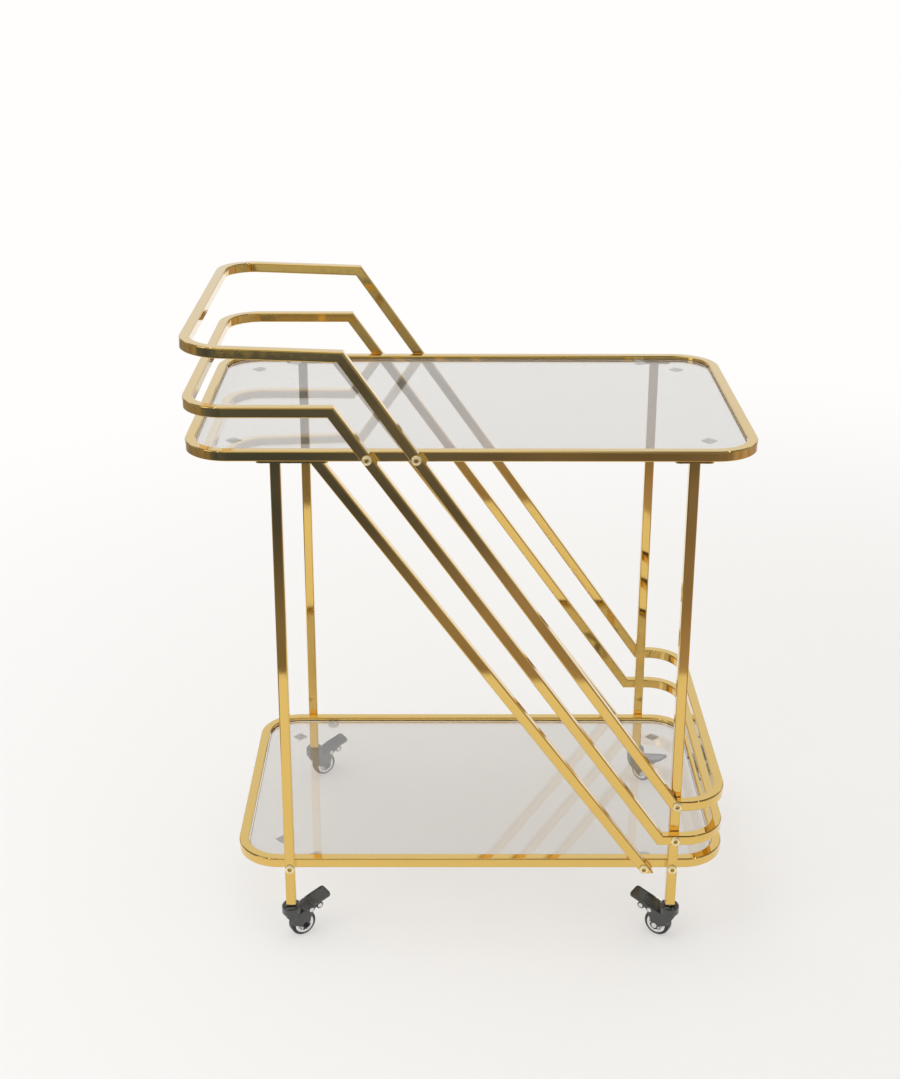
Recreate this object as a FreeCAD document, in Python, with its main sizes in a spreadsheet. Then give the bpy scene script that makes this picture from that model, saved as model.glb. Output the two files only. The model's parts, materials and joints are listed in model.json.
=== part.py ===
import FreeCAD
import Part
import Sketcher
import os

# Dessert trolley: a gilt square-tube frame, two glass shelves and four braked swivel casters.
# Millimetres. +X runs to the right along the shelves, -Y is the front, +Z is up, z = 0 is the floor.
# On each side three layers of tube lie face to face: the shelf frames, the legs and braces, and
# outermost the struts, which are mitred into the handle hoops on the left and the guard rails on
# the right.

SIZES = {
    # square tube
    "tube": 14.0,
    "tube_wall": 1.2,
    "tube_edge": 1.6,
    # shelf frames
    "centre_line": -8.12,  # the frame's middle; one pedal sticks out behind it
    "top_length": 750.0,
    "top_width": 450.0,
    "top_height": 738.0,
    "frame_corner": 62.0,
    "shelf_height": 123.0,
    "shelf_overhang": 79.0,
    # legs, measured inwards from the ends of the top frame
    "leg_inset_left": 123.0,
    "leg_inset_right": 90.0,
    "leg_foot": 57.0,
    "plate_thickness": 2.0,
    "plate_reach": 25.0,
    "plate_corner": 4.8,
    "insert_depth": 24.0,
    # glass and what carries it
    "glass_thickness": 5.0,
    "glass_recess": 5.0,
    "glass_gap": 1.0,
    "glass_edge": 0.6,
    "pad_radius": 8.5,
    "pad_thickness": 1.5,
    "pad_inset": 114.0,
    "tab_radius": 7.5,
    "tab_thickness": 1.5,
    "dot_size": 16.0,
    "dot_thickness": 1.2,
    "dot_inset": 63.0,
    # handle hoops above the top frame, and guard rails above the bottom frame
    "loop_corner": 60.0,
    "hoop_inset": 2.0,
    "lower_hoop_step": 63.0,
    "upper_hoop_step": 135.0,
    "upper_hoop_tilt": 2.0,
    "rail_inset": 7.0,
    "lower_rail_step": 55.0,
    "upper_rail_step": 109.5,
    # slanted tubes: at the top from the frame's left end, at the foot short of the right leg
    "lower_strut_inset": 241.0,
    "lower_strut_short": 21.0,
    "upper_strut_inset": 304.0,
    "upper_strut_short": 3.4,
    "brace_inset": 170.0,
    "brace_short": 39.9,
    # frame screws
    "head_radius": 6.0,
    "head_height": 3.2,
    "head_round": 1.4,
    "socket_radius": 2.4,
    "socket_depth": 1.8,
    "shank_radius": 2.5,
    "shank_bite": 8.0,
    "hole_clearance": 0.1,
    # small screws of the fixing plates
    "plate_head_radius": 3.6,
    "plate_head_height": 1.8,
    "plate_head_round": 0.8,
    "plate_socket_radius": 1.4,
    "plate_socket_depth": 1.0,
    "plate_shank_radius": 1.9,
    "plate_shank_bite": 6.0,
    "plate_screw_spacing": 17.0,
    # casters: heading of each brake pedal, turned from +X towards +Y
    "heading_front_left": 33.0,
    "heading_front_right": 147.0,
    "heading_rear_left": 33.0,
    "heading_rear_right": -45.0,
    "wheel_radius": 19.0,
    "wheel_width": 15.0,
    "wheel_trail": 16.0,
    "tyre_round": 4.0,
    "hub_radius": 14.2,
    "hub_proud": 0.4,
    "dish_radius": 11.0,
    "dish_floor_radius": 8.0,
    "dish_depth": 3.0,
    "boss_radius": 4.8,
    "axle_radius": 3.0,
    "axle_head_radius": 3.9,
    "axle_head_height": 0.9,
    "running_fit": 0.05,
    "running_gap": 0.3,
    "stem_radius": 4.0,
    "collar_radius": 7.5,
    "clip_radius": 5.5,
    "clip_thickness": 1.6,
    "clip_room": 0.5,
    "dome_radius": 14.0,
    "dome_top": 55.0,
    "dome_bottom": 42.0,
    "dome_round": 5.0,
    "recess_radius": 9.5,
    "recess_depth": 1.5,
    "shoulder_height": 43.0,
    "cheek_width": 25.0,
    "cheek_edge": 1.2,
    "cheek_front": 11.5,
    "cheek_nose": 2.7,
    "cheek_taper": 4.5,
    "cheek_drop": 2.5,
    "fork_gap": 17.0,
    "fork_roof": 39.0,
    "tongue_roof": 44.8,
    "axle_lobe_radius": 5.2,
    "pin_reach": 25.0,
    "pin_height": 41.5,
    "pin_radius": 1.6,
    "pin_head_radius": 3.3,
    "pin_head_height": 0.9,
    "pin_lobe_radius": 5.0,
    # brake pedal
    "seam_reach": 27.0,
    "seam_height": 47.6,
    "seam_gap": 0.4,
    "pedal_slope": 18.0,
    "pedal_length": 31.5,
    "pedal_width": 25.6,
    "pedal_thickness": 3.2,
    "pedal_corner": 5.0,
    "pedal_rim": 2.4,
    "pedal_recess": 0.6,
    "tongue_width": 16.0,
    "tongue_hub_radius": 3.0,
    "rivet_reach": 38.5,
    "rivet_height": 44.5,
    "rivet_lobe_radius": 5.3,
    "shoe_arm": 6.0,
    "shoe_radius": 2.0,
    "brake_travel": 18.0,
}

X_AXIS = FreeCAD.Vector(1, 0, 0)
Y_AXIS = FreeCAD.Vector(0, 1, 0)
Z_AXIS = FreeCAD.Vector(0, 0, 1)
SIDES = {"front": -1, "rear": 1}

doc = FreeCAD.newDocument("dessert_trolley")
sheet = doc.addObject("Spreadsheet::Sheet", "dims")
for row, (alias, value) in enumerate(SIZES.items(), start=1):
    sheet.set(f"A{row}", alias)
    sheet.set(f"B{row}", str(value))
    sheet.setAlias(f"B{row}", alias)
doc.recompute()

nodes = {}


def finish(name, thing):
    """Keep an object as one named piece of the trolley."""
    thing.Label = name
    nodes[name] = thing
    return thing


# ---- small builders -------------------------------------------------------------------------


def new_body(name):
    return doc.addObject("PartDesign::Body", name)


def place(thing, x, y, z, axis=None, angle="0"):
    """Put a body at a point, turned about one axis by an angle in degrees."""
    if axis:
        thing.Placement = FreeCAD.Placement(FreeCAD.Vector(), FreeCAD.Rotation(axis, 1.0))
        thing.setExpression("Placement.Rotation.Angle", angle)
    thing.setExpression("Placement.Base.x", x)
    thing.setExpression("Placement.Base.y", y)
    thing.setExpression("Placement.Base.z", z)
    return thing


def box(body, name, x, y, z, kind="Additive"):
    """Box in a body between a low and a high place on each axis."""
    feature = body.newObject(f"PartDesign::{kind}Box", name)
    for axis, size, (low, high) in zip("xyz", ("Length", "Width", "Height"), (x, y, z)):
        feature.setExpression(f"Placement.Base.{axis}", low)
        feature.setExpression(size, f"({high}) - ({low})")
    return feature


def disc(body, name, radius, span, centre, upright=True, kind="Additive"):
    """Cylinder in a body along Z, or along Y where it isn't upright."""
    feature = body.newObject(f"PartDesign::{kind}Cylinder", name)
    feature.setExpression("Radius", radius)
    feature.setExpression("Height", f"({span[1]}) - ({span[0]})")
    if upright:
        base = (centre[0], centre[1], span[0])
    else:
        feature.Placement = FreeCAD.Placement(FreeCAD.Vector(), FreeCAD.Rotation(X_AXIS, -90))
        base = (centre[0], span[0], centre[1])
    for axis, value in zip("xyz", base):
        feature.setExpression(f"Placement.Base.{axis}", value)
    return feature


def straight_along(axis):
    """Test for straight edges parallel to an axis."""

    def test(edge):
        if not isinstance(edge.Curve, Part.Line):
            return False
        return edge.tangentAt(edge.FirstParameter).cross(axis).Length < 1e-6

    return test


def level(edge):
    return edge.BoundBox.ZLength < 1e-6


def round_at(height, radius):
    """Test for circles of one radius at one height."""

    def test(edge):
        if not isinstance(edge.Curve, Part.Circle) or not level(edge):
            return False
        same_height = abs(edge.Curve.Center.z - height) < 1e-6
        return same_height and abs(edge.Curve.Radius - radius) < 1e-6

    return test


def fillet(body, name, radius, wanted):
    """Round those edges of a body's last feature that pass a test."""
    doc.recompute()
    base = body.Tip
    edges = [f"Edge{n}" for n, edge in enumerate(base.Shape.Edges, 1) if wanted(edge)]
    feature = body.newObject("PartDesign::Fillet", name)
    feature.Base = (base, edges)
    feature.setExpression("Radius", radius)
    return feature


def outline_pad(body, name, points, half_width):
    """Plate between two upright planes, from an outline of (x, z) corners."""
    sketch = body.newObject("Sketcher::SketchObject", name + "_outline")
    origin = body.Origin.OriginFeatures
    sketch.AttachmentSupport = [plane for plane in origin if plane.Role == "XZ_Plane"][0]
    sketch.MapMode = "FlatFace"
    count = len(points)
    start = [FreeCAD.Rotation(Z_AXIS, 360 * n / count).multVec(X_AXIS) for n in range(count)]
    for n in range(count):
        sketch.addGeometry(Part.LineSegment(start[n], start[(n + 1) % count]))
    for n in range(count):
        sketch.addConstraint(Sketcher.Constraint("Coincident", n, 2, (n + 1) % count, 1))
    for n, point in enumerate(points):
        for letter, value in zip("XY", point):
            rule = Sketcher.Constraint(f"Distance{letter}", -1, 1, n, 1, 1.0)
            index = sketch.addConstraint(rule)
            sketch.renameConstraint(index, f"corner_{n}_{letter}")
            sketch.setExpression(f"Constraints.corner_{n}_{letter}", value)
    pad = body.newObject("PartDesign::Pad", name + "_pad")
    pad.Profile = sketch
    pad.SideType = "Symmetric"
    pad.setExpression("Length", f"2 * ({half_width})")
    return pad


def boolean(kind, name, base, tool):
    feature = doc.addObject(f"Part::{kind}", name)
    feature.Base = base
    feature.Tool = tool
    return feature


def group(name, pieces):
    """Several equal pieces that share one node."""
    feature = doc.addObject("Part::Compound", name + "_group")
    feature.Links = pieces
    return finish(name, feature)


# ---- places that several pieces share ---------------------------------------------------------

HALF_TUBE = "dims.tube / 2"
HALF_WIDTH = "(dims.top_width / 2)"
SCREW_LINE = "(dims.top_height - dims.tube / 2)"
SHELF_LINE = "(dims.shelf_height - dims.tube / 2)"
LEG_TOP = "(dims.top_height - dims.tube - dims.plate_thickness)"
TOP_X = ("(-dims.top_length / 2)", "(dims.top_length / 2)")
LEG_X = {
    "left": f"({TOP_X[0]} + dims.leg_inset_left)",
    "right": f"({TOP_X[1]} - dims.leg_inset_right)",
}
SHELF_X = (f"{LEG_X['left']} - dims.shelf_overhang", f"{LEG_X['right']} + dims.shelf_overhang")
# Height of the middle of what a slanted tube meets at its foot
FOOT = {
    "upper_strut": "(dims.shelf_height + dims.upper_rail_step - dims.tube / 2)",
    "lower_strut": "(dims.shelf_height + dims.lower_rail_step - dims.tube / 2)",
    "brace": SHELF_LINE,
}


def at_side(side, distance):
    """Y of a place at a distance from the trolley's middle, on the front or the rear."""
    return f"(dims.centre_line + ({side}) * ({distance}))"


def layer_middle(layer):
    """Distance of a tube layer's middle: 0 the top frame and legs, 1 the struts, -1 the shelf."""
    return f"({HALF_WIDTH} + ({layer} - 0.5) * dims.tube)"


def slope_of(name):
    """Slope of a slanted tube from the horizontal, from its places at the top and at the foot."""
    run = f"({LEG_X['right']} - dims.{name}_short - {TOP_X[0]} - dims.{name}_inset)"
    return f"atan(({SCREW_LINE} - {FOOT[name]}) / {run})"


def on_diagonal(name, height):
    """X of a slanted tube's centre line at a height."""
    return f"({TOP_X[0]} + dims.{name}_inset - (({height}) - {SCREW_LINE}) / tan({slope_of(name)}))"


def across(distance):
    """Y span that reaches a distance to both sides of the middle."""
    return at_side(-1, distance), at_side(1, distance)


# ---- square tube, straight and bent to a ring ---------------------------------------------------


def bar(name, length, x, y, z, slope):
    """Hollow straight tube from a point, its length running down at a slope."""
    body = new_body(name)
    half = ("-dims.tube / 2", "dims.tube / 2")
    bore = ("-dims.tube / 2 + dims.tube_wall", "dims.tube / 2 - dims.tube_wall")
    box(body, name + "_bulk", length, half, half)
    fillet(body, name + "_edges", "dims.tube_edge", straight_along(X_AXIS))
    box(body, name + "_bore", length, bore, bore, "Subtractive")
    return place(body, x, y, z, Y_AXIS, slope)


def rounded_block(name, x, y, z, corner):
    body = new_body(name)
    box(body, name + "_bulk", x, y, z)
    fillet(body, name + "_corners", corner, straight_along(Z_AXIS))
    return body


def ring_body(name, x, y, z, corner, inset):
    """Rectangular ring one tube wide, with all its faces moved inwards by inset."""
    inner = f"dims.tube - {inset}"
    outside = [(f"{low} + {inset}", f"{high} - ({inset})") for low, high in (x, y, z)]
    window = [(f"{low} + {inner}", f"{high} - ({inner})") for low, high in (x, y)]
    body = rounded_block(name, *outside, f"{corner} - {inset}")
    middle = rounded_block(name + "_window", *window, outside[2], f"{corner} - ({inner})")
    opening = body.newObject("PartDesign::Boolean", name + "_opening")
    opening.Type = "Cut"
    opening.setObjects([middle])
    return body


def ring(name, x, y, z, corner, point=("0", "0"), tilt="0"):
    """Hollow ring of bent tube, tilted about a point of the middle plane."""
    outer = ring_body(name + "_outside", x, y, z, corner, "0")
    fillet(outer, name + "_edges", "dims.tube_edge", level)
    inner = ring_body(name + "_inside", x, y, z, corner, "dims.tube_wall")
    for body in (outer, inner):
        place(body, point[0], "0", point[1], Y_AXIS, tilt)
    return boolean("Cut", name + "_tube", outer, inner)


def half_space(name, point, tilt, side):
    """Block on the left (-1) or right (1) of a tilted plane across the trolley."""
    reach = "2 * dims.top_length"
    x = (f"-{reach}", "0") if side < 0 else ("0", reach)
    wide = (f"-{reach}", reach)
    body = new_body(name)
    box(body, name + "_bulk", x, wide, wide)
    return place(body, point[0], "0", point[1], Y_AXIS, tilt)


# ---- screws -----------------------------------------------------------------------------------


def screw(name, prefix, length, x, y, z, turn):
    """Button-head screw with a hexagon socket, its head facing out along its own Z."""
    body = new_body(name)
    thick = ("0", f"dims.{prefix}head_height")
    disc(body, name + "_head", f"dims.{prefix}head_radius", thick, ("0", "0"))
    rim = (sheet.get(f"{prefix}head_height"), sheet.get(f"{prefix}head_radius"))
    fillet(body, name + "_crown", f"dims.{prefix}head_round", round_at(*rim))
    disc(body, name + "_shank", f"dims.{prefix}shank_radius", (f"-({length})", "0"), ("0", "0"))
    socket = body.newObject("PartDesign::SubtractivePrism", name + "_socket")
    socket.Polygon = 6
    socket.setExpression("Circumradius", f"dims.{prefix}socket_radius")
    socket.setExpression("Height", f"dims.{prefix}socket_depth")
    floor = f"dims.{prefix}head_height - dims.{prefix}socket_depth"
    socket.setExpression("Placement.Base.z", floor)
    return place(body, x, y, z, X_AXIS, turn)


def screw_hole(name, prefix, length, x, y, z, turn):
    """Clearance hole in which a screw's shank lies."""
    body = new_body(name)
    radius = f"dims.{prefix}shank_radius + dims.hole_clearance"
    slack = "dims.tube_edge"
    disc(body, name + "_round", radius, (f"-({length}) - {slack}", slack), ("0", "0"))
    return place(body, x, y, z, X_AXIS, turn)


# Where a screw goes through one tube into the next: its x and z, and the layer of its head.
FRAME_SCREWS = {
    "upper_strut": (on_diagonal("upper_strut", SCREW_LINE), SCREW_LINE, 1),
    "lower_strut": (on_diagonal("lower_strut", SCREW_LINE), SCREW_LINE, 1),
    "upper_rail": (LEG_X["right"], FOOT["upper_strut"], 1),
    "lower_rail": (LEG_X["right"], FOOT["lower_strut"], 1),
    "left_leg": (LEG_X["left"], SHELF_LINE, 0),
    "right_leg": (LEG_X["right"], SHELF_LINE, 0),
    "brace": (on_diagonal("brace", SHELF_LINE), SHELF_LINE, 0),
}

frame_screws = []
holes = {}
for end, side in SIDES.items():
    for seat, (x, z, layer) in FRAME_SCREWS.items():
        face = at_side(side, f"{layer_middle(layer)} + {HALF_TUBE}")
        through = (seat + "_" + end, "", "dims.tube + dims.shank_bite", x, face, z)
        turn = str(-90 * side)
        frame_screws.append(screw("screw_" + through[0], *through[1:], turn))
        holes[seat, end] = screw_hole("hole_" + through[0], *through[1:], turn)
group("frame_screws", frame_screws)


def drill(name, piece, seats, ends):
    """Cut the clearance holes of the named screws, and keep the piece."""
    for seat in seats:
        for end in ends:
            piece = boolean("Cut", f"{name}_with_{seat}_{end}", piece, holes[seat, end])
    return finish(name, piece)


# ---- fixing plates under the top frame ----------------------------------------------------------

plates = []
plate_screws = []
plate_holes = []
BRACE_SEAT = on_diagonal("brace", LEG_TOP)
PLATE_X = {
    "left": (f"{LEG_X['left']} - dims.plate_reach", f"{BRACE_SEAT} + dims.tube"),
    "right": (f"{LEG_X['right']} - dims.plate_reach", f"{LEG_X['right']} + dims.plate_reach"),
}
for end, side in SIDES.items():
    middle = at_side(side, layer_middle(0))
    y = (f"{middle} - {HALF_TUBE}", f"{middle} + {HALF_TUBE}")
    for hand, leg in LEG_X.items():
        name = f"{hand}_plate_{end}"
        z = (LEG_TOP, f"{LEG_TOP} + dims.plate_thickness")
        plate = rounded_block(name, PLATE_X[hand], y, z, "dims.plate_corner")
        for step in (-1, 1):
            at = (f"{leg} + ({step}) * dims.plate_screw_spacing", middle, LEG_TOP)
            words = ("plate_", "dims.plate_shank_bite", *at, "180")
            tag = f"{name}_{'outer' if step < 0 else 'inner'}"
            plate_screws.append(screw("screw_" + tag, *words))
            hole = screw_hole("hole_" + tag, *words)
            plate = boolean("Cut", "drilled_" + tag, plate, hole)
            plate_holes.append(hole)
        plates.append(plate)
group("fixing_plates", plates)
group("plate_screws", plate_screws)

# ---- shelf frames -----------------------------------------------------------------------------

frame = ring(
    "top_frame",
    TOP_X,
    across(HALF_WIDTH),
    ("dims.top_height - dims.tube", "dims.top_height"),
    "dims.frame_corner",
)
for number, hole in enumerate(plate_holes):
    frame = boolean("Cut", f"top_frame_plate_hole_{number}", frame, hole)
drill("top_frame", frame, ("upper_strut", "lower_strut"), SIDES)

shelf = ring(
    "bottom_frame",
    SHELF_X,
    across(f"{HALF_WIDTH} - dims.tube"),
    ("dims.shelf_height - dims.tube", "dims.shelf_height"),
    "dims.frame_corner",
)
drill("bottom_frame", shelf, ("left_leg", "right_leg", "brace"), SIDES)


def glass_shelf(name, x, half_width, top):
    """Glass let into a frame, with the tabs, pads and spacers under it."""
    rim = "(dims.tube + dims.glass_gap)"
    spans = [(f"{low} + {rim}", f"{high} - {rim}") for low, high in (x, across(half_width))]
    surface = f"({top} - dims.glass_recess)"
    underside = f"({surface} - dims.glass_thickness)"
    corner = f"dims.frame_corner - {rim}"
    pane = rounded_block(name, *spans, (underside, surface), corner)
    fillet(pane, name + "_arris", "dims.glass_edge", level)
    finish(name, pane)

    tabs = []
    pads = []
    dots = []
    pad_low = f"({underside} - dims.pad_thickness)"
    tab_low = f"({pad_low} - dims.tab_thickness)"
    for end, side in SIDES.items():
        wall = f"({half_width} - dims.tube)"
        y = at_side(side, f"{wall} - dims.pad_radius")
        tab_y = (y, at_side(side, wall)) if side > 0 else (at_side(side, wall), y)
        dot_y = at_side(side, f"{half_width} - dims.dot_inset")
        for hand, pad_x, dot_x in (
            ("left", f"({x[0]} + dims.pad_inset)", f"{x[0]} + dims.dot_inset"),
            ("right", f"({x[1]} - dims.pad_inset)", f"{x[1]} - dims.dot_inset"),
        ):
            tag = f"{name}_{hand}_{end}"
            tab = new_body("tab_" + tag)
            tab_z = (tab_low, pad_low)
            tab_x = (f"{pad_x} - dims.tab_radius", f"{pad_x} + dims.tab_radius")
            disc(tab, tab.Name + "_end", "dims.tab_radius", tab_z, (pad_x, y))
            box(tab, tab.Name + "_root", tab_x, tab_y, tab_z)
            tabs.append(tab)
            pad = new_body("pad_" + tag)
            disc(pad, pad.Name + "_disc", "dims.pad_radius", (pad_low, underside), (pad_x, y))
            pads.append(pad)
            dot = new_body("dot_" + tag)
            half = ("-dims.dot_size / 2", "dims.dot_size / 2")
            box(dot, dot.Name + "_square", half, half, ("-dims.dot_thickness", "0"))
            place(dot, dot_x, dot_y, underside, Z_AXIS, "45")
            dots.append(dot)
    group(name + "_tabs", tabs)
    group(name + "_pads", pads)
    return dots


spacers = glass_shelf("top_glass", TOP_X, HALF_WIDTH, "dims.top_height")
spacers += glass_shelf("bottom_glass", SHELF_X, f"({HALF_WIDTH} - dims.tube)", "dims.shelf_height")
group("glass_spacers", spacers)

# ---- handle hoops, guard rails and the struts between them --------------------------------------

HOOP_TILT = {"upper": "(dims.upper_hoop_tilt * 1 deg)", "lower": "0 deg"}
LOOP_WIDTH = across(f"{HALF_WIDTH} + dims.tube")
TUBE_DEEP = ("-dims.tube / 2", "dims.tube / 2")
PAST_CORNER = "(2 * dims.loop_corner + dims.tube)"

for level_name, tilt in HOOP_TILT.items():
    strut = level_name + "_strut"
    slope = slope_of(strut)
    widening = f"cos(({slope} + {tilt}) / 2) / cos(({slope} - {tilt}) / 2)"
    hoop_z = f"(dims.top_height + dims.{level_name}_hoop_step - dims.tube / 2 * {widening})"
    hoop_point = (on_diagonal(strut, hoop_z), hoop_z)
    rail_z = FOOT[strut]
    rail_point = (on_diagonal(strut, rail_z), rail_z)

    hoop_name = level_name + "_handle_hoop"
    hoop_reach = f"({hoop_point[0]} - {TOP_X[0]} - dims.hoop_inset) / cos({tilt})"
    hoop = ring(
        hoop_name,
        (f"-({hoop_reach})", PAST_CORNER),
        LOOP_WIDTH,
        TUBE_DEEP,
        "dims.loop_corner",
        hoop_point,
        tilt,
    )
    hoop_side = half_space(hoop_name + "_mitre", hoop_point, f"({slope} + {tilt}) / 2", -1)
    finish(hoop_name, boolean("Common", hoop_name + "_cut", hoop, hoop_side))

    rail_name = level_name + "_guard_rail"
    rail_reach = f"{SHELF_X[1]} - dims.rail_inset - {rail_point[0]}"
    rail = ring(
        rail_name,
        (f"-{PAST_CORNER}", rail_reach),
        LOOP_WIDTH,
        TUBE_DEEP,
        "dims.loop_corner",
        rail_point,
    )
    rail_side = half_space(rail_name + "_mitre", rail_point, f"{slope} / 2", 1)
    rail = boolean("Common", rail_name + "_cut", rail, rail_side)
    drill(rail_name, rail, (level_name + "_rail",), SIDES)

    for end, side in SIDES.items():
        name = f"{strut}_{end}"
        run = f"({hoop_z} - {rail_z}) / sin({slope})"
        length = ("-2 * dims.tube", f"{run} + 2 * dims.tube")
        y = at_side(side, layer_middle(1))
        piece = bar(name + "_tube", length, hoop_point[0], y, hoop_z, slope)
        piece = boolean("Cut", name + "_top_mitre", piece, hoop_side)
        piece = boolean("Cut", name + "_foot_mitre", piece, rail_side)
        drill(name, piece, (strut,), (end,))

# ---- legs and braces --------------------------------------------------------------------------

inserts = []
for end, side in SIDES.items():
    y = at_side(side, layer_middle(0))

    reach = f"({LEG_TOP} - {SHELF_LINE}) / sin({slope_of('brace')}) + 2 * dims.tube"
    brace = bar(
        f"brace_{end}_tube",
        ("-2 * dims.tube", reach),
        BRACE_SEAT,
        y,
        LEG_TOP,
        slope_of("brace"),
    )
    between = new_body(f"brace_{end}_space")
    wide = ("-dims.top_length", "dims.top_length")
    box(between, between.Name + "_bulk", wide, wide, ("dims.shelf_height - dims.tube", LEG_TOP))
    drill(f"brace_{end}", boolean("Common", f"brace_{end}_cut", brace, between), ("brace",), (end,))

    for hand, x in LEG_X.items():
        name = f"leg_{end}_{hand}"
        leg = bar(name + "_tube", ("0", f"{LEG_TOP} - dims.leg_foot"), x, y, "dims.leg_foot", "-90")
        seats = ("left_leg",) if hand == "left" else ("right_leg", "upper_rail", "lower_rail")
        drill(name, leg, seats, (end,))

        insert = new_body(f"insert_{end}_{hand}")
        fit = "(dims.tube / 2 - dims.tube_wall - dims.running_fit)"
        square = (f"-{fit}", fit)
        depth = ("dims.leg_foot", "dims.leg_foot + dims.insert_depth")
        box(insert, insert.Name + "_block", square, square, depth)
        bore = "dims.stem_radius + dims.running_fit"
        disc(insert, insert.Name + "_bore", bore, depth, ("0", "0"), kind="Subtractive")
        inserts.append(place(insert, x, y, "0"))
group("leg_inserts", inserts)

# ---- casters ----------------------------------------------------------------------------------

FACE = "dims.wheel_width / 2"
CHEEK = "dims.cheek_width / 2"
PIN = ("dims.pin_reach", "dims.pin_height")
AXLE = ("dims.wheel_trail", "dims.wheel_radius")
RIVET = ("dims.rivet_reach", "dims.rivet_height")

# The brake shoe hangs from the pedal's pin, turned so that it just clears the tyre at full travel.
ACROSS = "(dims.pin_reach - dims.wheel_trail)"
DOWN = "(dims.pin_height - dims.wheel_radius)"
TO_AXLE = f"sqrt({ACROSS} ^ 2 + {DOWN} ^ 2)"
TO_TYRE = "(dims.wheel_radius + dims.shoe_radius + dims.running_gap)"
COSINE = f"({TO_AXLE} ^ 2 + dims.shoe_arm ^ 2 - {TO_TYRE} ^ 2) / (2 * {TO_AXLE} * dims.shoe_arm)"
SHOE_TURN = f"(atan({DOWN} / {ACROSS}) - 180 deg + acos({COSINE}) + dims.brake_travel * 1 deg)"
SHOE = (
    f"dims.pin_reach + dims.shoe_arm * cos({SHOE_TURN})",
    f"dims.pin_height + dims.shoe_arm * sin({SHOE_TURN})",
)


def round_pin(name, centre, radius, half_length, head_radius, head_height):
    """Pin across a caster, with a flat head at both ends."""
    body = new_body(name)
    end = f"({half_length} + {head_height})"
    disc(body, name + "_pin", radius, (f"-({half_length})", half_length), centre, False)
    disc(body, name + "_left_head", head_radius, (half_length, end), centre, False)
    disc(body, name + "_right_head", head_radius, (f"-{end}", f"-({half_length})"), centre, False)
    return body


def caster_stem(name):
    body = new_body(name)
    top = "dims.leg_foot + dims.insert_depth - dims.clip_thickness"
    seat = "dims.dome_top - dims.recess_depth + dims.running_gap"
    clip_top = "dims.shoulder_height - dims.running_gap"
    clip_bottom = f"{clip_top} - dims.clip_thickness"
    disc(body, name + "_collar", "dims.collar_radius", (seat, "dims.leg_foot"), ("0", "0"))
    disc(body, name + "_pin", "dims.stem_radius", (clip_bottom, top), ("0", "0"))
    disc(body, name + "_clip", "dims.clip_radius", (clip_bottom, clip_top), ("0", "0"))
    return body


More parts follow.
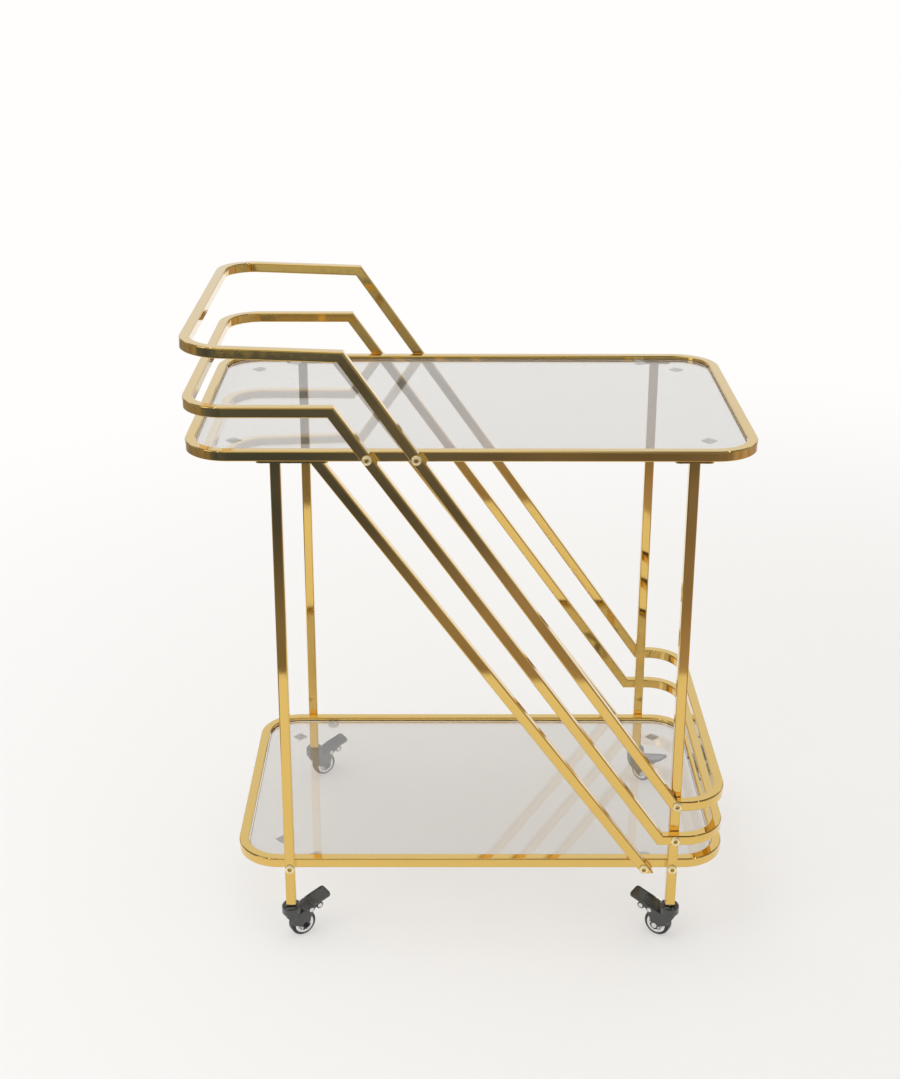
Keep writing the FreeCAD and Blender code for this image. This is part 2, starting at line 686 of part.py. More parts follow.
def caster_housing(name):
    """Hood, swivel dome and two cheeks, hollow for the wheel and the brake's tongue."""
    body = new_body(name)
    hood_back = "(dims.seam_reach - dims.seam_gap)"
    slope = "tan(dims.pedal_slope)"
    hood_height = f"(dims.seam_height - dims.seam_gap * {slope})"
    hood_front = "(dims.dome_radius / 2)"
    corners = [
        (hood_front, f"dims.seam_height - (dims.seam_reach - {hood_front}) * {slope}"),
        ("-dims.cheek_front", "dims.shoulder_height"),
        ("-dims.cheek_front", "dims.fork_roof"),
        ("-dims.cheek_nose", "dims.wheel_radius + dims.axle_lobe_radius"),
        ("dims.wheel_trail - dims.cheek_taper", "dims.wheel_radius - dims.cheek_drop"),
        ("dims.wheel_trail + dims.cheek_taper", "dims.wheel_radius - dims.cheek_drop"),
        ("dims.pin_reach + dims.cheek_taper", "dims.pin_height"),
        (hood_back, "dims.pin_height"),
        (hood_back, hood_height),
    ]
    outline_pad(body, name, corners, CHEEK)
    edge_plane = sheet.get("cheek_width") / 2

    def on_cheek_face(edge):
        return abs(abs(edge.CenterOfMass.y) - edge_plane) < 1e-6

    fillet(body, name + "_rounding", "dims.cheek_edge", on_cheek_face)
    envelope = new_body(name + "_envelope")
    upright = ("0", "dims.dome_top")
    disc(envelope, envelope.Name + "_round", "dims.dome_radius", upright, ("0", "0"))
    behind = ("0", "dims.pin_reach + dims.dome_radius")
    box(envelope, envelope.Name + "_rear", behind, (f"-{CHEEK}", CHEEK), upright)
    trim = body.newObject("PartDesign::Boolean", name + "_trim")
    trim.Type = "Common"
    trim.setObjects([envelope])
    disc(body, name + "_dome", "dims.dome_radius", ("dims.dome_bottom", "dims.dome_top"), ("0", "0"))
    rim = (sheet.get("dome_top"), sheet.get("dome_radius"))
    fillet(body, name + "_dome_rounding", "dims.dome_round", round_at(*rim))
    wide = (f"-{CHEEK}", CHEEK)
    disc(body, name + "_axle_lobe", "dims.axle_lobe_radius", wide, AXLE, False)
    disc(body, name + "_pin_lobe", "dims.pin_lobe_radius", wide, PIN, False)

    fork = ("-dims.fork_gap / 2", "dims.fork_gap / 2")
    all_along = ("-2 * dims.dome_radius", "dims.pin_reach + dims.dome_radius")
    box(body, name + "_fork", all_along, fork, ("0", "dims.fork_roof"), "Subtractive")
    tongue_x = ("dims.pin_reach - dims.tongue_hub_radius - dims.running_gap", all_along[1])
    box(body, name + "_slot", tongue_x, fork, ("0", "dims.tongue_roof"), "Subtractive")
    box(body, name + "_throat", (hood_back, all_along[1]), fork, upright, "Subtractive")
    floor = "dims.dome_top - dims.recess_depth"
    cut = {"kind": "Subtractive"}
    disc(body, name + "_recess", "dims.recess_radius", (floor, "dims.dome_top"), ("0", "0"), **cut)
    bore = "dims.stem_radius + dims.running_fit"
    disc(body, name + "_swivel_bore", bore, ("0", "dims.dome_top"), ("0", "0"), **cut)
    clip = "dims.clip_radius + dims.clip_room"
    disc(body, name + "_clip_bore", clip, ("0", "dims.shoulder_height"), ("0", "0"), **cut)
    for hole, centre, radius in (("axle", AXLE, "dims.axle_radius"), ("pin", PIN, "dims.pin_radius")):
        disc(body, f"{name}_{hole}_hole", f"{radius} + dims.running_fit", wide, centre, False, **cut)
    return body


def caster_tyre(name):
    body = new_body(name)
    width = (f"-({FACE})", FACE)
    disc(body, name + "_round", "dims.wheel_radius", width, AXLE, False)
    fillet(body, name + "_tread_edges", "dims.tyre_round", lambda edge: edge.BoundBox.YLength < 1e-6)
    disc(body, name + "_seat", "dims.hub_radius", width, AXLE, False, "Subtractive")
    return body


def caster_hub(name):
    """Hub with a raised ring, a dished face and a boss on both sides."""
    body = new_body(name)
    face = f"({FACE} + dims.hub_proud)"
    floor = f"({face} - dims.dish_depth)"
    disc(body, name + "_round", "dims.hub_radius", (f"-{face}", face), AXLE, False)
    for side in (-1, 1):
        dish = body.newObject("PartDesign::SubtractiveCone", f"{name}_dish_{side + 1}")
        dish.Placement = FreeCAD.Placement(FreeCAD.Vector(), FreeCAD.Rotation(X_AXIS, -90 * side))
        dish.setExpression("Placement.Base.x", AXLE[0])
        dish.setExpression("Placement.Base.y", f"({side}) * {floor}")
        dish.setExpression("Placement.Base.z", AXLE[1])
        dish.setExpression("Radius1", "dims.dish_floor_radius")
        dish.setExpression("Radius2", "dims.dish_radius")
        dish.setExpression("Height", "dims.dish_depth")
    disc(body, name + "_boss", "dims.boss_radius", (f"-({FACE})", FACE), AXLE, False)
    bore = "dims.axle_radius + dims.running_fit"
    disc(body, name + "_bore", bore, (f"-{face}", face), AXLE, False, "Subtractive")
    return body


def brake_pedal(name):
    """Pressed plate with a tongue between the cheeks that carries the brake shoe."""
    body = new_body(name)
    half_plate = "dims.pedal_width / 2"
    half_tongue = "dims.tongue_width / 2"
    slope = "dims.pedal_slope"
    low_x = f"dims.seam_reach + dims.pedal_thickness * sin({slope})"
    low_z = f"dims.seam_height - dims.pedal_thickness * cos({slope})"

    def sloping(feature, along, up, start_y):
        feature.Placement = FreeCAD.Placement(FreeCAD.Vector(), FreeCAD.Rotation(Y_AXIS, 1.0))
        feature.setExpression("Placement.Rotation.Angle", f"-{slope}")
        x = f"{low_x} + {along} * cos({slope}) - {up} * sin({slope})"
        z = f"{low_z} + {along} * sin({slope}) + {up} * cos({slope})"
        for axis, value in zip("xyz", (x, start_y, z)):
            feature.setExpression(f"Placement.Base.{axis}", value)

    plate = body.newObject("PartDesign::AdditiveBox", name + "_plate")
    plate.setExpression("Length", "dims.pedal_length")
    plate.setExpression("Width", "dims.pedal_width")
    plate.setExpression("Height", "dims.pedal_thickness")
    sloping(plate, "0", "0", f"-{half_plate}")
    doc.recompute()
    normal = plate.Placement.Rotation.multVec(Z_AXIS)
    tip = plate.Shape.BoundBox.XMax - sheet.get("pedal_thickness")

    def at_tip(edge):
        return straight_along(normal)(edge) and edge.BoundBox.XMax > tip

    fillet(body, name + "_corners", "dims.pedal_corner", at_tip)
    recess = body.newObject("PartDesign::SubtractiveBox", name + "_recess")
    recess.setExpression("Length", "dims.pedal_length - 2 * dims.pedal_rim")
    recess.setExpression("Width", "dims.pedal_width - 2 * dims.pedal_rim")
    recess.setExpression("Height", "dims.pedal_recess")
    depth = "(dims.pedal_thickness - dims.pedal_recess)"
    sloping(recess, "dims.pedal_rim", depth, f"-{half_plate} + dims.pedal_rim")

    half_hub = "dims.tongue_hub_radius"
    corners = [
        (PIN[0], f"{PIN[1]} + {half_hub}"),
        (f"{low_x} + {half_hub}", f"{low_z} + {half_hub} * sin({slope})"),
        (RIVET[0], f"{RIVET[1]} + {half_hub}"),
        (RIVET[0], f"{RIVET[1]} - {half_hub}"),
        (SHOE[0], f"{SHOE[1]} - dims.shoe_radius"),
        (f"{SHOE[0]} - dims.shoe_radius", SHOE[1]),
        (PIN[0], f"{PIN[1]} - {half_hub} / 2"),
    ]
    outline_pad(body, name, corners, half_tongue)
    for part, radius, centre, half in (
        ("hub", "dims.tongue_hub_radius", PIN, half_tongue),
        ("shoe", "dims.shoe_radius", SHOE, half_tongue),
        ("lobe", "dims.rivet_lobe_radius", RIVET, half_plate),
    ):
        disc(body, f"{name}_{part}", radius, (f"-{half}", half), centre, False)

    clear = "dims.pin_lobe_radius + dims.running_gap"
    past = f"({half_plate} + dims.seam_gap)"
    for side, span in (("left", (half_tongue, past)), ("right", (f"-{past}", f"-{half_tongue}"))):
        disc(body, f"{name}_{side}_clearance", clear, span, PIN, False, "Subtractive")
    across_all = (f"-{past}", past)
    bore = "dims.pin_radius + dims.running_fit"
    for hole, centre in (("pin", PIN), ("rivet", RIVET)):
        disc(body, f"{name}_{hole}_hole", bore, across_all, centre, False, "Subtractive")
    return body


for end, side in SIDES.items():
    for hand, leg_x in LEG_X.items():
        corner = f"{end}_{hand}"
        cheek_pin = ("dims.pin_radius", CHEEK, "dims.pin_head_radius", "dims.pin_head_height")
        pedal_pin = ("dims.pin_radius", "dims.pedal_width / 2", *cheek_pin[2:])
        axle = ("dims.axle_radius", CHEEK, "dims.axle_head_radius", "dims.axle_head_height")
        pieces = {
            "caster_stem": caster_stem(f"stem_{corner}"),
            "caster_housing": caster_housing(f"housing_{corner}"),
            "caster_axle": round_pin(f"axle_{corner}", AXLE, *axle),
            "caster_tyre": caster_tyre(f"tyre_{corner}"),
            "caster_hub": caster_hub(f"hub_{corner}"),
            "pedal_pin": round_pin(f"pin_{corner}", PIN, *cheek_pin),
            "brake_pedal": brake_pedal(f"pedal_{corner}"),
            "brake_rivet": round_pin(f"rivet_{corner}", RIVET, *pedal_pin),
        }
        leg_y = at_side(side, layer_middle(0))
        for kind, piece in pieces.items():
            place(piece, leg_x, leg_y, "0", Z_AXIS, f"dims.heading_{corner}")
            finish(f"{kind}_{corner}", piece)

# ---- check and write --------------------------------------------------------------------------

doc.recompute()
for thing in doc.Objects:
    if "Invalid" in thing.State or "Error" in thing.State:
        raise RuntimeError(f"{thing.Label} failed: {thing.State}")
for name, thing in nodes.items():
    if thing.Shape.isNull() or not thing.Shape.isValid() or not thing.Shape.Solids:
        raise RuntimeError(f"{name} has no valid shape")

os.makedirs("parts", exist_ok=True)
for name, thing in nodes.items():
    thing.Shape.exportStep(f"parts/{name}.step")
whole = FreeCAD.BoundBox()
for thing in nodes.values():
    whole.add(thing.Shape.BoundBox)
print(f"{len(nodes)} nodes, x {whole.XMin:.2f} to {whole.XMax:.2f},", end=" ")
print(f"y {whole.YMin:.2f} to {whole.YMax:.2f}, z {whole.ZMin:.2f} to {whole.ZMax:.2f}")
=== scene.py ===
import json
import math

import bpy
import numpy as np
from mathutils import Euler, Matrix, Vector


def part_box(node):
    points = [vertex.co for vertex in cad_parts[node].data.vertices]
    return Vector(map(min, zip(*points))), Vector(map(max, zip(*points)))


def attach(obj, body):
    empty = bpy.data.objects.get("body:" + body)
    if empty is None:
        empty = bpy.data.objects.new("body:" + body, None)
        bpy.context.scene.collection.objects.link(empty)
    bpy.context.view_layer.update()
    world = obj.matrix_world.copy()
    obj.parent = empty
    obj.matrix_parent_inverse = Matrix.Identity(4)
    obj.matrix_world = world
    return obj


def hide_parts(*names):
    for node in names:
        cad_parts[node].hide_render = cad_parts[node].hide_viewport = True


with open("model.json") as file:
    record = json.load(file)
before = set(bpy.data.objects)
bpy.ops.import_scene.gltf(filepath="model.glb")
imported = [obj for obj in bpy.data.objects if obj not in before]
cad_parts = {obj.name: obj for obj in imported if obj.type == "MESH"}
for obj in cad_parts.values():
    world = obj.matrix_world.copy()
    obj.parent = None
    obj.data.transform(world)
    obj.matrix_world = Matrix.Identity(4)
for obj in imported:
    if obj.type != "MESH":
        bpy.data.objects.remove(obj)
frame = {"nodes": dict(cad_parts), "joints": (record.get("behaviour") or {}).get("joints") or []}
nodes = frame["nodes"]
joints = {joint["name"]: joint for joint in frame["joints"]}
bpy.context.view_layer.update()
print("frame loaded with", len(nodes), "nodes")

# The camera stands where the photograph was taken; the picture's own perspective gave its place.
photo = dict(height=1079, focal=1629.9, centreRow=539.5, horizonRow=465.0)   # pixels
view = dict(place=(-0.0353, -2.1890, 1.4330), down=20.03, right=0.16, roll=-0.12)   # metres, degrees
sensorSide = 36.0   # millimetres

lens = bpy.data.cameras.new("photoCamera")
lens.sensor_width = sensorSide
lens.lens = photo["focal"] / photo["height"] * sensorSide
lens.shift_y = (photo["horizonRow"] - photo["centreRow"]) / photo["height"]
eye = bpy.data.objects.new("photoCamera", lens)
eye.location = view["place"]
eye.rotation_euler = Euler(
    (math.radians(90 - view["down"]), math.radians(view["roll"]), math.radians(-view["right"]))
)
bpy.context.scene.collection.objects.link(eye)
bpy.context.scene.camera = eye
print("camera ready")


# A shape is a dictionary: points, cells of four corners with their surface coordinates in metres,
# flat caps, and for each point a mark that says how much of the edge's tone it takes.
def gridShape(points, closedRows, closedColumns, caps=(), edge=None):
    # each cell joins a row and a column of the grid to the next ones; its surface coordinates are the
    # running lengths along both ways
    rows, columns = points.shape[:2]
    row = np.arange(rows if closedRows else rows - 1)
    column = np.arange(columns if closedColumns else columns - 1)
    i, j = np.meshgrid(row, column, indexing="ij")
    here, there = i * columns, (i + 1) % rows * columns   # first point of a cell's two rows
    beside = (j + 1) % columns
    cells = np.stack([here + j, there + j, there + beside, here + beside], -1)
    alongRows = lengths(points.mean(1), closedRows)
    alongColumns = lengths(points[0], closedColumns)
    u = np.stack([alongRows[i], alongRows[i + 1], alongRows[i + 1], alongRows[i]], -1)
    v = np.stack([alongColumns[j], alongColumns[j], alongColumns[j + 1], alongColumns[j + 1]], -1)
    return dict(
        points=points.reshape(-1, 3),
        cells=cells.reshape(-1, 4),
        surface=np.stack([u, v], -1).reshape(-1, 4, 2),
        caps=[list(cap) for cap in caps],
        edge=np.zeros(rows * columns) if edge is None else np.tile(edge, rows),
    )


def lengths(line, closed):
    # running length along a line of points, with one more value where it closes
    following = np.roll(line, -1, axis=0)
    steps = np.linalg.norm(following - line, axis=1)
    running = np.concatenate([[0.0], np.cumsum(steps)])
    return running if closed else running[:-1]


def joined(shapes):
    # several shapes as one, their indices moved up by the points before them
    starts = np.cumsum([0] + [len(shape["points"]) for shape in shapes[:-1]])
    caps = [[n + start for n in cap] for shape, start in zip(shapes, starts) for cap in shape["caps"]]
    return dict(
        points=np.concatenate([shape["points"] for shape in shapes]),
        cells=np.concatenate([shape["cells"] + start for shape, start in zip(shapes, starts)]),
        surface=np.concatenate([shape["surface"] for shape in shapes]),
        caps=caps,
        edge=np.concatenate([shape["edge"] for shape in shapes]),
    )


def outward(shape):
    # the sum of tetrahedra under all faces is negative where they point inwards: then all are turned
    corners = shape["points"][shape["cells"]]
    volume = np.einsum("ij,ij->", corners[:, 0], np.cross(corners[:, 1], corners[:, 2]))
    volume += np.einsum("ij,ij->", corners[:, 0], np.cross(corners[:, 2], corners[:, 3]))
    for cap in shape["caps"]:
        rim = shape["points"][cap]
        volume += np.einsum("j,ij->", rim[0], np.cross(rim[1:-1], rim[2:]))
    if volume < 0:
        shape["cells"] = shape["cells"][:, ::-1]
        shape["surface"] = shape["surface"][:, ::-1]
        shape["caps"] = [cap[::-1] for cap in shape["caps"]]
    return shape


def addPiece(name, shape, body, material, replaced):
    # the finished mesh, shaded soft up to an angle, on its body and in its material slot
    softUpTo = 34.0   # degrees
    mesh = bpy.data.meshes.new(name)
    mesh.from_pydata(shape["points"].tolist(), [], shape["cells"].tolist() + shape["caps"])
    loose = sum(len(cap) for cap in shape["caps"])
    surface = np.concatenate([shape["surface"].reshape(-1, 2), np.zeros((loose, 2))])
    mesh.uv_layers.new(name="surface").data.foreach_set("uv", surface.astype(np.float32).ravel())
    mark = mesh.attributes.new("edge", "FLOAT", "POINT")
    mark.data.foreach_set("value", shape["edge"].astype(np.float32))
    mesh.shade_smooth()
    mesh.set_sharp_from_angle(angle=math.radians(softUpTo))
    mesh.materials.append(material)
    piece = bpy.data.objects.new(name, mesh)
    bpy.context.scene.collection.objects.link(piece)
    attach(piece, body)
    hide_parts(*replaced)


def roundedOutline(halfX, halfY, corners, steps, lead=0.0):
    # anticlockwise outline with quarter circles of four radii; lead adds a point beside each one
    turn = np.radians(np.linspace(0, 90, steps + 1))
    signs = ((1, 1), (-1, 1), (-1, -1), (1, -1))
    points, normals, marks = [], [], []
    for quarter, (radius, (signX, signY)) in enumerate(zip(corners, signs)):
        angle = turn + quarter * math.pi / 2
        normal = np.stack([np.cos(angle), np.sin(angle)], -1)
        arc = np.array([signX * (halfX - radius), signY * (halfY - radius)]) + radius * normal
        mark = np.ones(len(arc))
        if lead:
            before = np.array([normal[0, 1], -normal[0, 0]]) * lead
            after = np.array([-normal[-1, 1], normal[-1, 0]]) * lead
            arc = np.concatenate([[arc[0] + before], arc, [arc[-1] + after]])
            normal = np.concatenate([normal[:1], normal, normal[-1:]])
            mark = np.concatenate([[0], mark, [0]])
        points.append(arc)
        normals.append(normal)
        marks.append(mark)
    points, normals, marks = (np.concatenate(part) for part in (points, normals, marks))
    meeting = 1e-7   # metres; where quarter circles meet, one of the two points goes
    apart = np.linalg.norm(points - np.roll(points, -1, axis=0), axis=1) > meeting
    return points[apart], normals[apart], marks[apart]


def turnAboutY(points, degrees, pivot=(0.0, 0.0, 0.0)):
    # turn in the XZ plane, from +Z towards +X
    angle = math.radians(degrees)
    x, y, z = np.moveaxis(points - np.array(pivot), -1, 0)
    turned = [x * math.cos(angle) + z * math.sin(angle), y, z * math.cos(angle) - x * math.sin(angle)]
    return np.stack(turned, -1) + np.array(pivot)


# Nodes that materials, effects and the world share. Each takes links or plain values.
def feed(tree, value, socket):
    # an output is linked to the socket, anything else is set on it
    if isinstance(value, bpy.types.NodeSocket):
        tree.links.new(value, socket)
    else:
        socket.default_value = value


def mathNode(tree, operation, *values):
    # one step of arithmetic on numbers
    step = tree.nodes.new("ShaderNodeMath")
    step.operation = operation
    for value, socket in zip(values, step.inputs):
        feed(tree, value, socket)
    return step.outputs[0]


def vectorNode(tree, operation, output, *values):
    # one step of arithmetic on vectors, which gives a vector or a number
    step = tree.nodes.new("ShaderNodeVectorMath")
    step.operation = operation
    for value, socket in zip(values, step.inputs):
        feed(tree, value, socket)
    return step.outputs[output]


def rampNode(tree, value, low, high, first=0.0, last=1.0, kind="SMOOTHSTEP"):
    # 0 to 1, or first to last, as the value goes from low to high
    step = tree.nodes.new("ShaderNodeMapRange")
    step.interpolation_type = kind
    tree.links.new(value, step.inputs["Value"])
    for label, end in (("From Min", low), ("From Max", high), ("To Min", first), ("To Max", last)):
        feed(tree, end, step.inputs[label])
    return step.outputs["Result"]


def colourNode(tree, factor, first, second):
    # the first colour at a factor of 0 and the second at 1; inputs 6 and 7 are the mix's colours
    mix = tree.nodes.new("ShaderNodeMix")
    mix.data_type = "RGBA"
    for value, socket in zip((factor, first, second), (mix.inputs[0], mix.inputs[6], mix.inputs[7])):
        feed(tree, value, socket)
    return mix.outputs[2]


def noiseNode(tree, vector, scale, detail, roughness=0.55):
    # soft noise from 0 to 1 about a middle of one half
    noise = tree.nodes.new("ShaderNodeTexNoise")
    tree.links.new(vector, noise.inputs["Vector"])
    for label, value in (("Scale", scale), ("Detail", detail), ("Roughness", roughness)):
        feed(tree, value, noise.inputs[label])
    return noise.outputs["Fac"]


# Effects that several finishes share, each a node group built once.
def effectGroup(name, inputs, outputs):
    # an empty group, with the sockets that it is given and the two nodes that hold them
    group = bpy.data.node_groups.new(name, "ShaderNodeTree")
    for label, kind, value in inputs:
        socket = group.interface.new_socket(label, in_out="INPUT", socket_type=kind)
        socket.default_value = value
    for label, kind in outputs:
        group.interface.new_socket(label, in_out="OUTPUT", socket_type=kind)
    return group, group.nodes.new("NodeGroupInput").outputs, group.nodes.new("NodeGroupOutput").inputs


def handlingGroup():
    # smears where hands have been: broad noise decides where, fine noise breaks it up
    smear = dict(broadDetail=3, fineSize=160.0, fineDetail=4, starts=0.22, full=0.42)
    group, given, result = effectGroup(
        "handlingMarks",
        [
            ("Vector", "NodeSocketVector", (0, 0, 0)),
            ("Size", "NodeSocketFloat", 12.0),
            ("Clean", "NodeSocketFloat", 0.08),
            ("Smeared", "NodeSocketFloat", 0.16),
        ],
        [("Roughness", "NodeSocketFloat"), ("Mask", "NodeSocketFloat")],
    )
    broad = noiseNode(group, given["Vector"], given["Size"], smear["broadDetail"])
    fine = noiseNode(group, given["Vector"], smear["fineSize"], smear["fineDetail"])
    both = mathNode(group, "MULTIPLY", broad, fine)
    mask = rampNode(group, both, smear["starts"], smear["full"], kind="LINEAR")
    spread = rampNode(group, mask, 0.0, 1.0, given["Clean"], given["Smeared"], kind="LINEAR")
    group.links.new(spread, result["Roughness"])
    group.links.new(mask, result["Mask"])
    return group


def drawnGroup():
    # fine lines along a drawn tube: noise on the surface's own lengths, stretched along the tube
    lines = dict(detail=5, roughness=0.6)
    group, given, result = effectGroup(
        "drawnLines",
        [
            ("Vector", "NodeSocketVector", (0, 0, 0)),
            ("Along", "NodeSocketFloat", 4.0),
            ("Around", "NodeSocketFloat", 420.0),
        ],
        [("Height", "NodeSocketFloat")],
    )
    scale = group.nodes.new("ShaderNodeCombineXYZ")
    group.links.new(given["Along"], scale.inputs["X"])
    group.links.new(given["Around"], scale.inputs["Y"])
    stretched = vectorNode(group, "MULTIPLY", "Vector", given["Vector"], scale.outputs[0])
    height = noiseNode(group, stretched, 1.0, lines["detail"], lines["roughness"])
    group.links.new(height, result["Height"])
    return group


def edgeGroup():
    # a second colour where a mask asks for it, broken up by noise
    breakupDetail = 3
    group, given, result = effectGroup(
        "edgeTone",
        [
            ("Body", "NodeSocketColor", (0.5, 0.5, 0.5, 1)),
            ("Edge", "NodeSocketColor", (0.8, 0.8, 0.8, 1)),
            ("Mask", "NodeSocketFloat", 0.0),
            ("Vector", "NodeSocketVector", (0, 0, 0)),
            ("Breakup", "NodeSocketFloat", 60.0),
        ],
        [("Color", "NodeSocketColor")],
    )
    noise = noiseNode(group, given["Vector"], given["Breakup"], breakupDetail)
    share = mathNode(group, "MULTIPLY", given["Mask"], noise)
    group.links.new(colourNode(group, share, given["Body"], given["Edge"]), result["Color"])
    return group


effects = dict(handling=handlingGroup(), drawn=drawnGroup(), edge=edgeGroup())


class Finish:
    # one material with its Principled shader, its coordinates and a way to place a shared effect
    def __init__(self, name, **plain):
        self.material = bpy.data.materials.new(name)
        self.material.use_nodes = True
        self.tree = self.material.node_tree
        self.shader = self.tree.nodes["Principled BSDF"]
        for socket, value in plain.items():
            self.shader.inputs[socket.replace("_", " ")].default_value = value
        coordinates = self.tree.nodes.new("ShaderNodeTexCoord")
        self.place = coordinates.outputs["Object"]
        self.lengths = coordinates.outputs["UV"]

    def link(self, source, target):
        # one output of this material's nodes to one input
        self.tree.links.new(source, target)

    def effect(self, name, vector, **values):
        # a shared group with this material's own values
        made = self.tree.nodes.new("ShaderNodeGroup")
        made.node_tree = effects[name]
        self.link(vector, made.inputs["Vector"])
        for socket, value in values.items():
            made.inputs[socket].default_value = value
        return made

    def handled(self, size, clean, smeared):
        # smears roughen the surface; their mask comes back for other uses
        marks = self.effect("handling", self.place, Size=size, Clean=clean, Smeared=smeared)
        self.link(marks.outputs["Roughness"], self.shader.inputs["Roughness"])
        return marks.outputs["Mask"]

    def toned(self, mask, body, edge, breakup):
        # the body's colour, with the edge's colour where the mask is
        tone = self.effect("edge", self.place, Body=body, Edge=edge, Breakup=breakup)
        self.link(mask, tone.inputs["Mask"])
        self.link(tone.outputs["Color"], self.shader.inputs["Base Color"])

    def edgeMarks(self):
        # the marks that a shape gives its points
        marks = self.tree.nodes.new("ShaderNodeAttribute")
        marks.attribute_name = "edge"
        return marks.outputs["Fac"]

    def bump(self, height, strength, distance):
        # the height tilts the surface's normal
        made = self.tree.nodes.new("ShaderNodeBump")
        made.inputs["Strength"].default_value = strength
        made.inputs["Distance"].default_value = distance
        self.link(height, made.inputs["Height"])
        self.link(made.outputs["Normal"], self.shader.inputs["Normal"])


gold = dict(
    body=(0.77, 0.51, 0.125, 1), edge=(0.66, 0.43, 0.10, 1), breakup=45.0,
    smears=9.0, clean=0.035, smeared=0.085, along=5.0, around=500.0, relief=0.25, depth=0.00003,
)


def goldFinish(name, streaked):
    # mirror plating over drawn tube, a little deeper in tone on its edges; small parts have no surface
    # lengths and so no drawn lines
    made = Finish(name, Metallic=1.0, Coat_Weight=0.8, Coat_Roughness=0.03)
    made.handled(gold["smears"], gold["clean"], gold["smeared"])
    made.toned(made.edgeMarks(), gold["body"], gold["edge"], gold["breakup"])
    if streaked:
        lines = made.effect("drawn", made.lengths, Along=gold["along"], Around=gold["around"])
        made.bump(lines.outputs["Height"], gold["relief"], gold["depth"])
    return made.material


glass = dict(tint=(0.755, 0.735, 0.71, 1), shade=(0.98, 0.975, 0.97, 1), clear=0.91)   # the rest is dust


def glassFinish():
    # lightly smoked float glass; light for shadows goes straight through, tinted
    made = Finish("smokedGlass", Base_Color=glass["tint"], Roughness=0.0, IOR=1.5)
    made.shader.inputs["Transmission Weight"].default_value = glass["clear"]
    clear = made.tree.nodes.new("ShaderNodeBsdfTransparent")
    clear.inputs["Color"].default_value = glass["shade"]
    path = made.tree.nodes.new("ShaderNodeLightPath")
    mix = made.tree.nodes.new("ShaderNodeMixShader")
    made.link(path.outputs["Is Shadow Ray"], mix.inputs["Fac"])
    made.link(made.shader.outputs["BSDF"], mix.inputs[1])
    made.link(clear.outputs["BSDF"], mix.inputs[2])
    made.link(mix.outputs["Shader"], made.tree.nodes["Material Output"].inputs["Surface"])
    return made.material


softDisc = dict(dim=(0.88, 0.88, 0.87, 1), pale=(0.98, 0.98, 0.97, 1), cloud=350.0, detail=4)


def clearPadFinish():
    # soft clear disc, cloudy inside
    made = Finish("clearPad", Roughness=0.3, IOR=1.45, Transmission_Weight=0.12)
    ramp = made.tree.nodes.new("ShaderNodeValToRGB")
    ramp.color_ramp.elements[0].color = softDisc["dim"]
    ramp.color_ramp.elements[1].color = softDisc["pale"]
    made.link(noiseNode(made.tree, made.place, softDisc["cloud"], softDisc["detail"]), ramp.inputs["Fac"])
    made.link(ramp.outputs["Color"], made.shader.inputs["Base Color"])
    return made.material


# Moulded plastic and rubber: two tones, roughness clean and smeared, and the grain's scale and depth.
moulded = dict(
    greyPad=dict(
        dark=(0.52, 0.52, 0.51, 1), pale=(0.64, 0.64, 0.63, 1), clean=0.6, smeared=0.75,
        grain=900.0, depth=0.00005,
    ),
    insertPlastic=dict(
        dark=(0.012, 0.012, 0.012, 1), pale=(0.03, 0.03, 0.03, 1), clean=0.45, smeared=0.6,
        grain=1500.0, depth=0.00004,
    ),
    blackPlastic=dict(
        dark=(0.022, 0.024, 0.022, 1), pale=(0.045, 0.048, 0.045, 1), clean=0.14, smeared=0.28,
        grain=1800.0, depth=0.00001, Coat_Weight=0.9, Coat_Roughness=0.04,
    ),
    tyreRubber=dict(
        dark=(0.020, 0.020, 0.021, 1), pale=(0.05, 0.05, 0.048, 1), clean=0.22, smeared=0.42,
        grain=1200.0, depth=0.00002,
    ),
)
mould = dict(smears=70.0, breakup=220.0, grainDetail=3, relief=0.3)


def mouldedFinish(name, dark, pale, clean, smeared, grain, depth, **plain):
    # cloudy colour, smears and a fine grain
    made = Finish(name, **plain)
    made.toned(made.handled(mould["smears"], clean, smeared), dark, pale, mould["breakup"])
    made.bump(noiseNode(made.tree, made.place, grain, mould["grainDetail"]), mould["relief"], depth)
    return made.material


# Bare or plated bright metal: two tones, roughness clean and smeared, and the scale of the smears.
bright = dict(
    goldScrew=dict(
        body=(0.90, 0.70, 0.33, 1), edge=(0.95, 0.80, 0.48, 1), clean=0.18, smeared=0.30, size=150.0,
    ),
    zincSteel=dict(
        body=(0.52, 0.52, 0.53, 1), edge=(0.68, 0.68, 0.68, 1), clean=0.22, smeared=0.38, size=90.0,
    ),
    chromeHub=dict(
        body=(0.78, 0.78, 0.79, 1), edge=(0.90, 0.90, 0.90, 1), clean=0.06, smeared=0.14, size=120.0,
    ),
    polishedRivet=dict(
        body=(0.76, 0.76, 0.77, 1), edge=(0.9, 0.9, 0.9, 1), clean=0.10, smeared=0.22, size=160.0,
    ),
)
brightBreakup = 3   # times finer than the smears


def brightFinish(name, body, edge, clean, smeared, size):
    # smears dull the metal and turn it a shade paler
    made = Finish(name, Metallic=1.0)
    made.toned(made.handled(size, clean, smeared), body, edge, size * brightBreakup)
    return made.material


axleTones = dict(
    head=(0.025, 0.025, 0.027, 1), nut=(0.76, 0.76, 0.77, 1), smears=120.0, clean=0.16, smeared=0.30
)


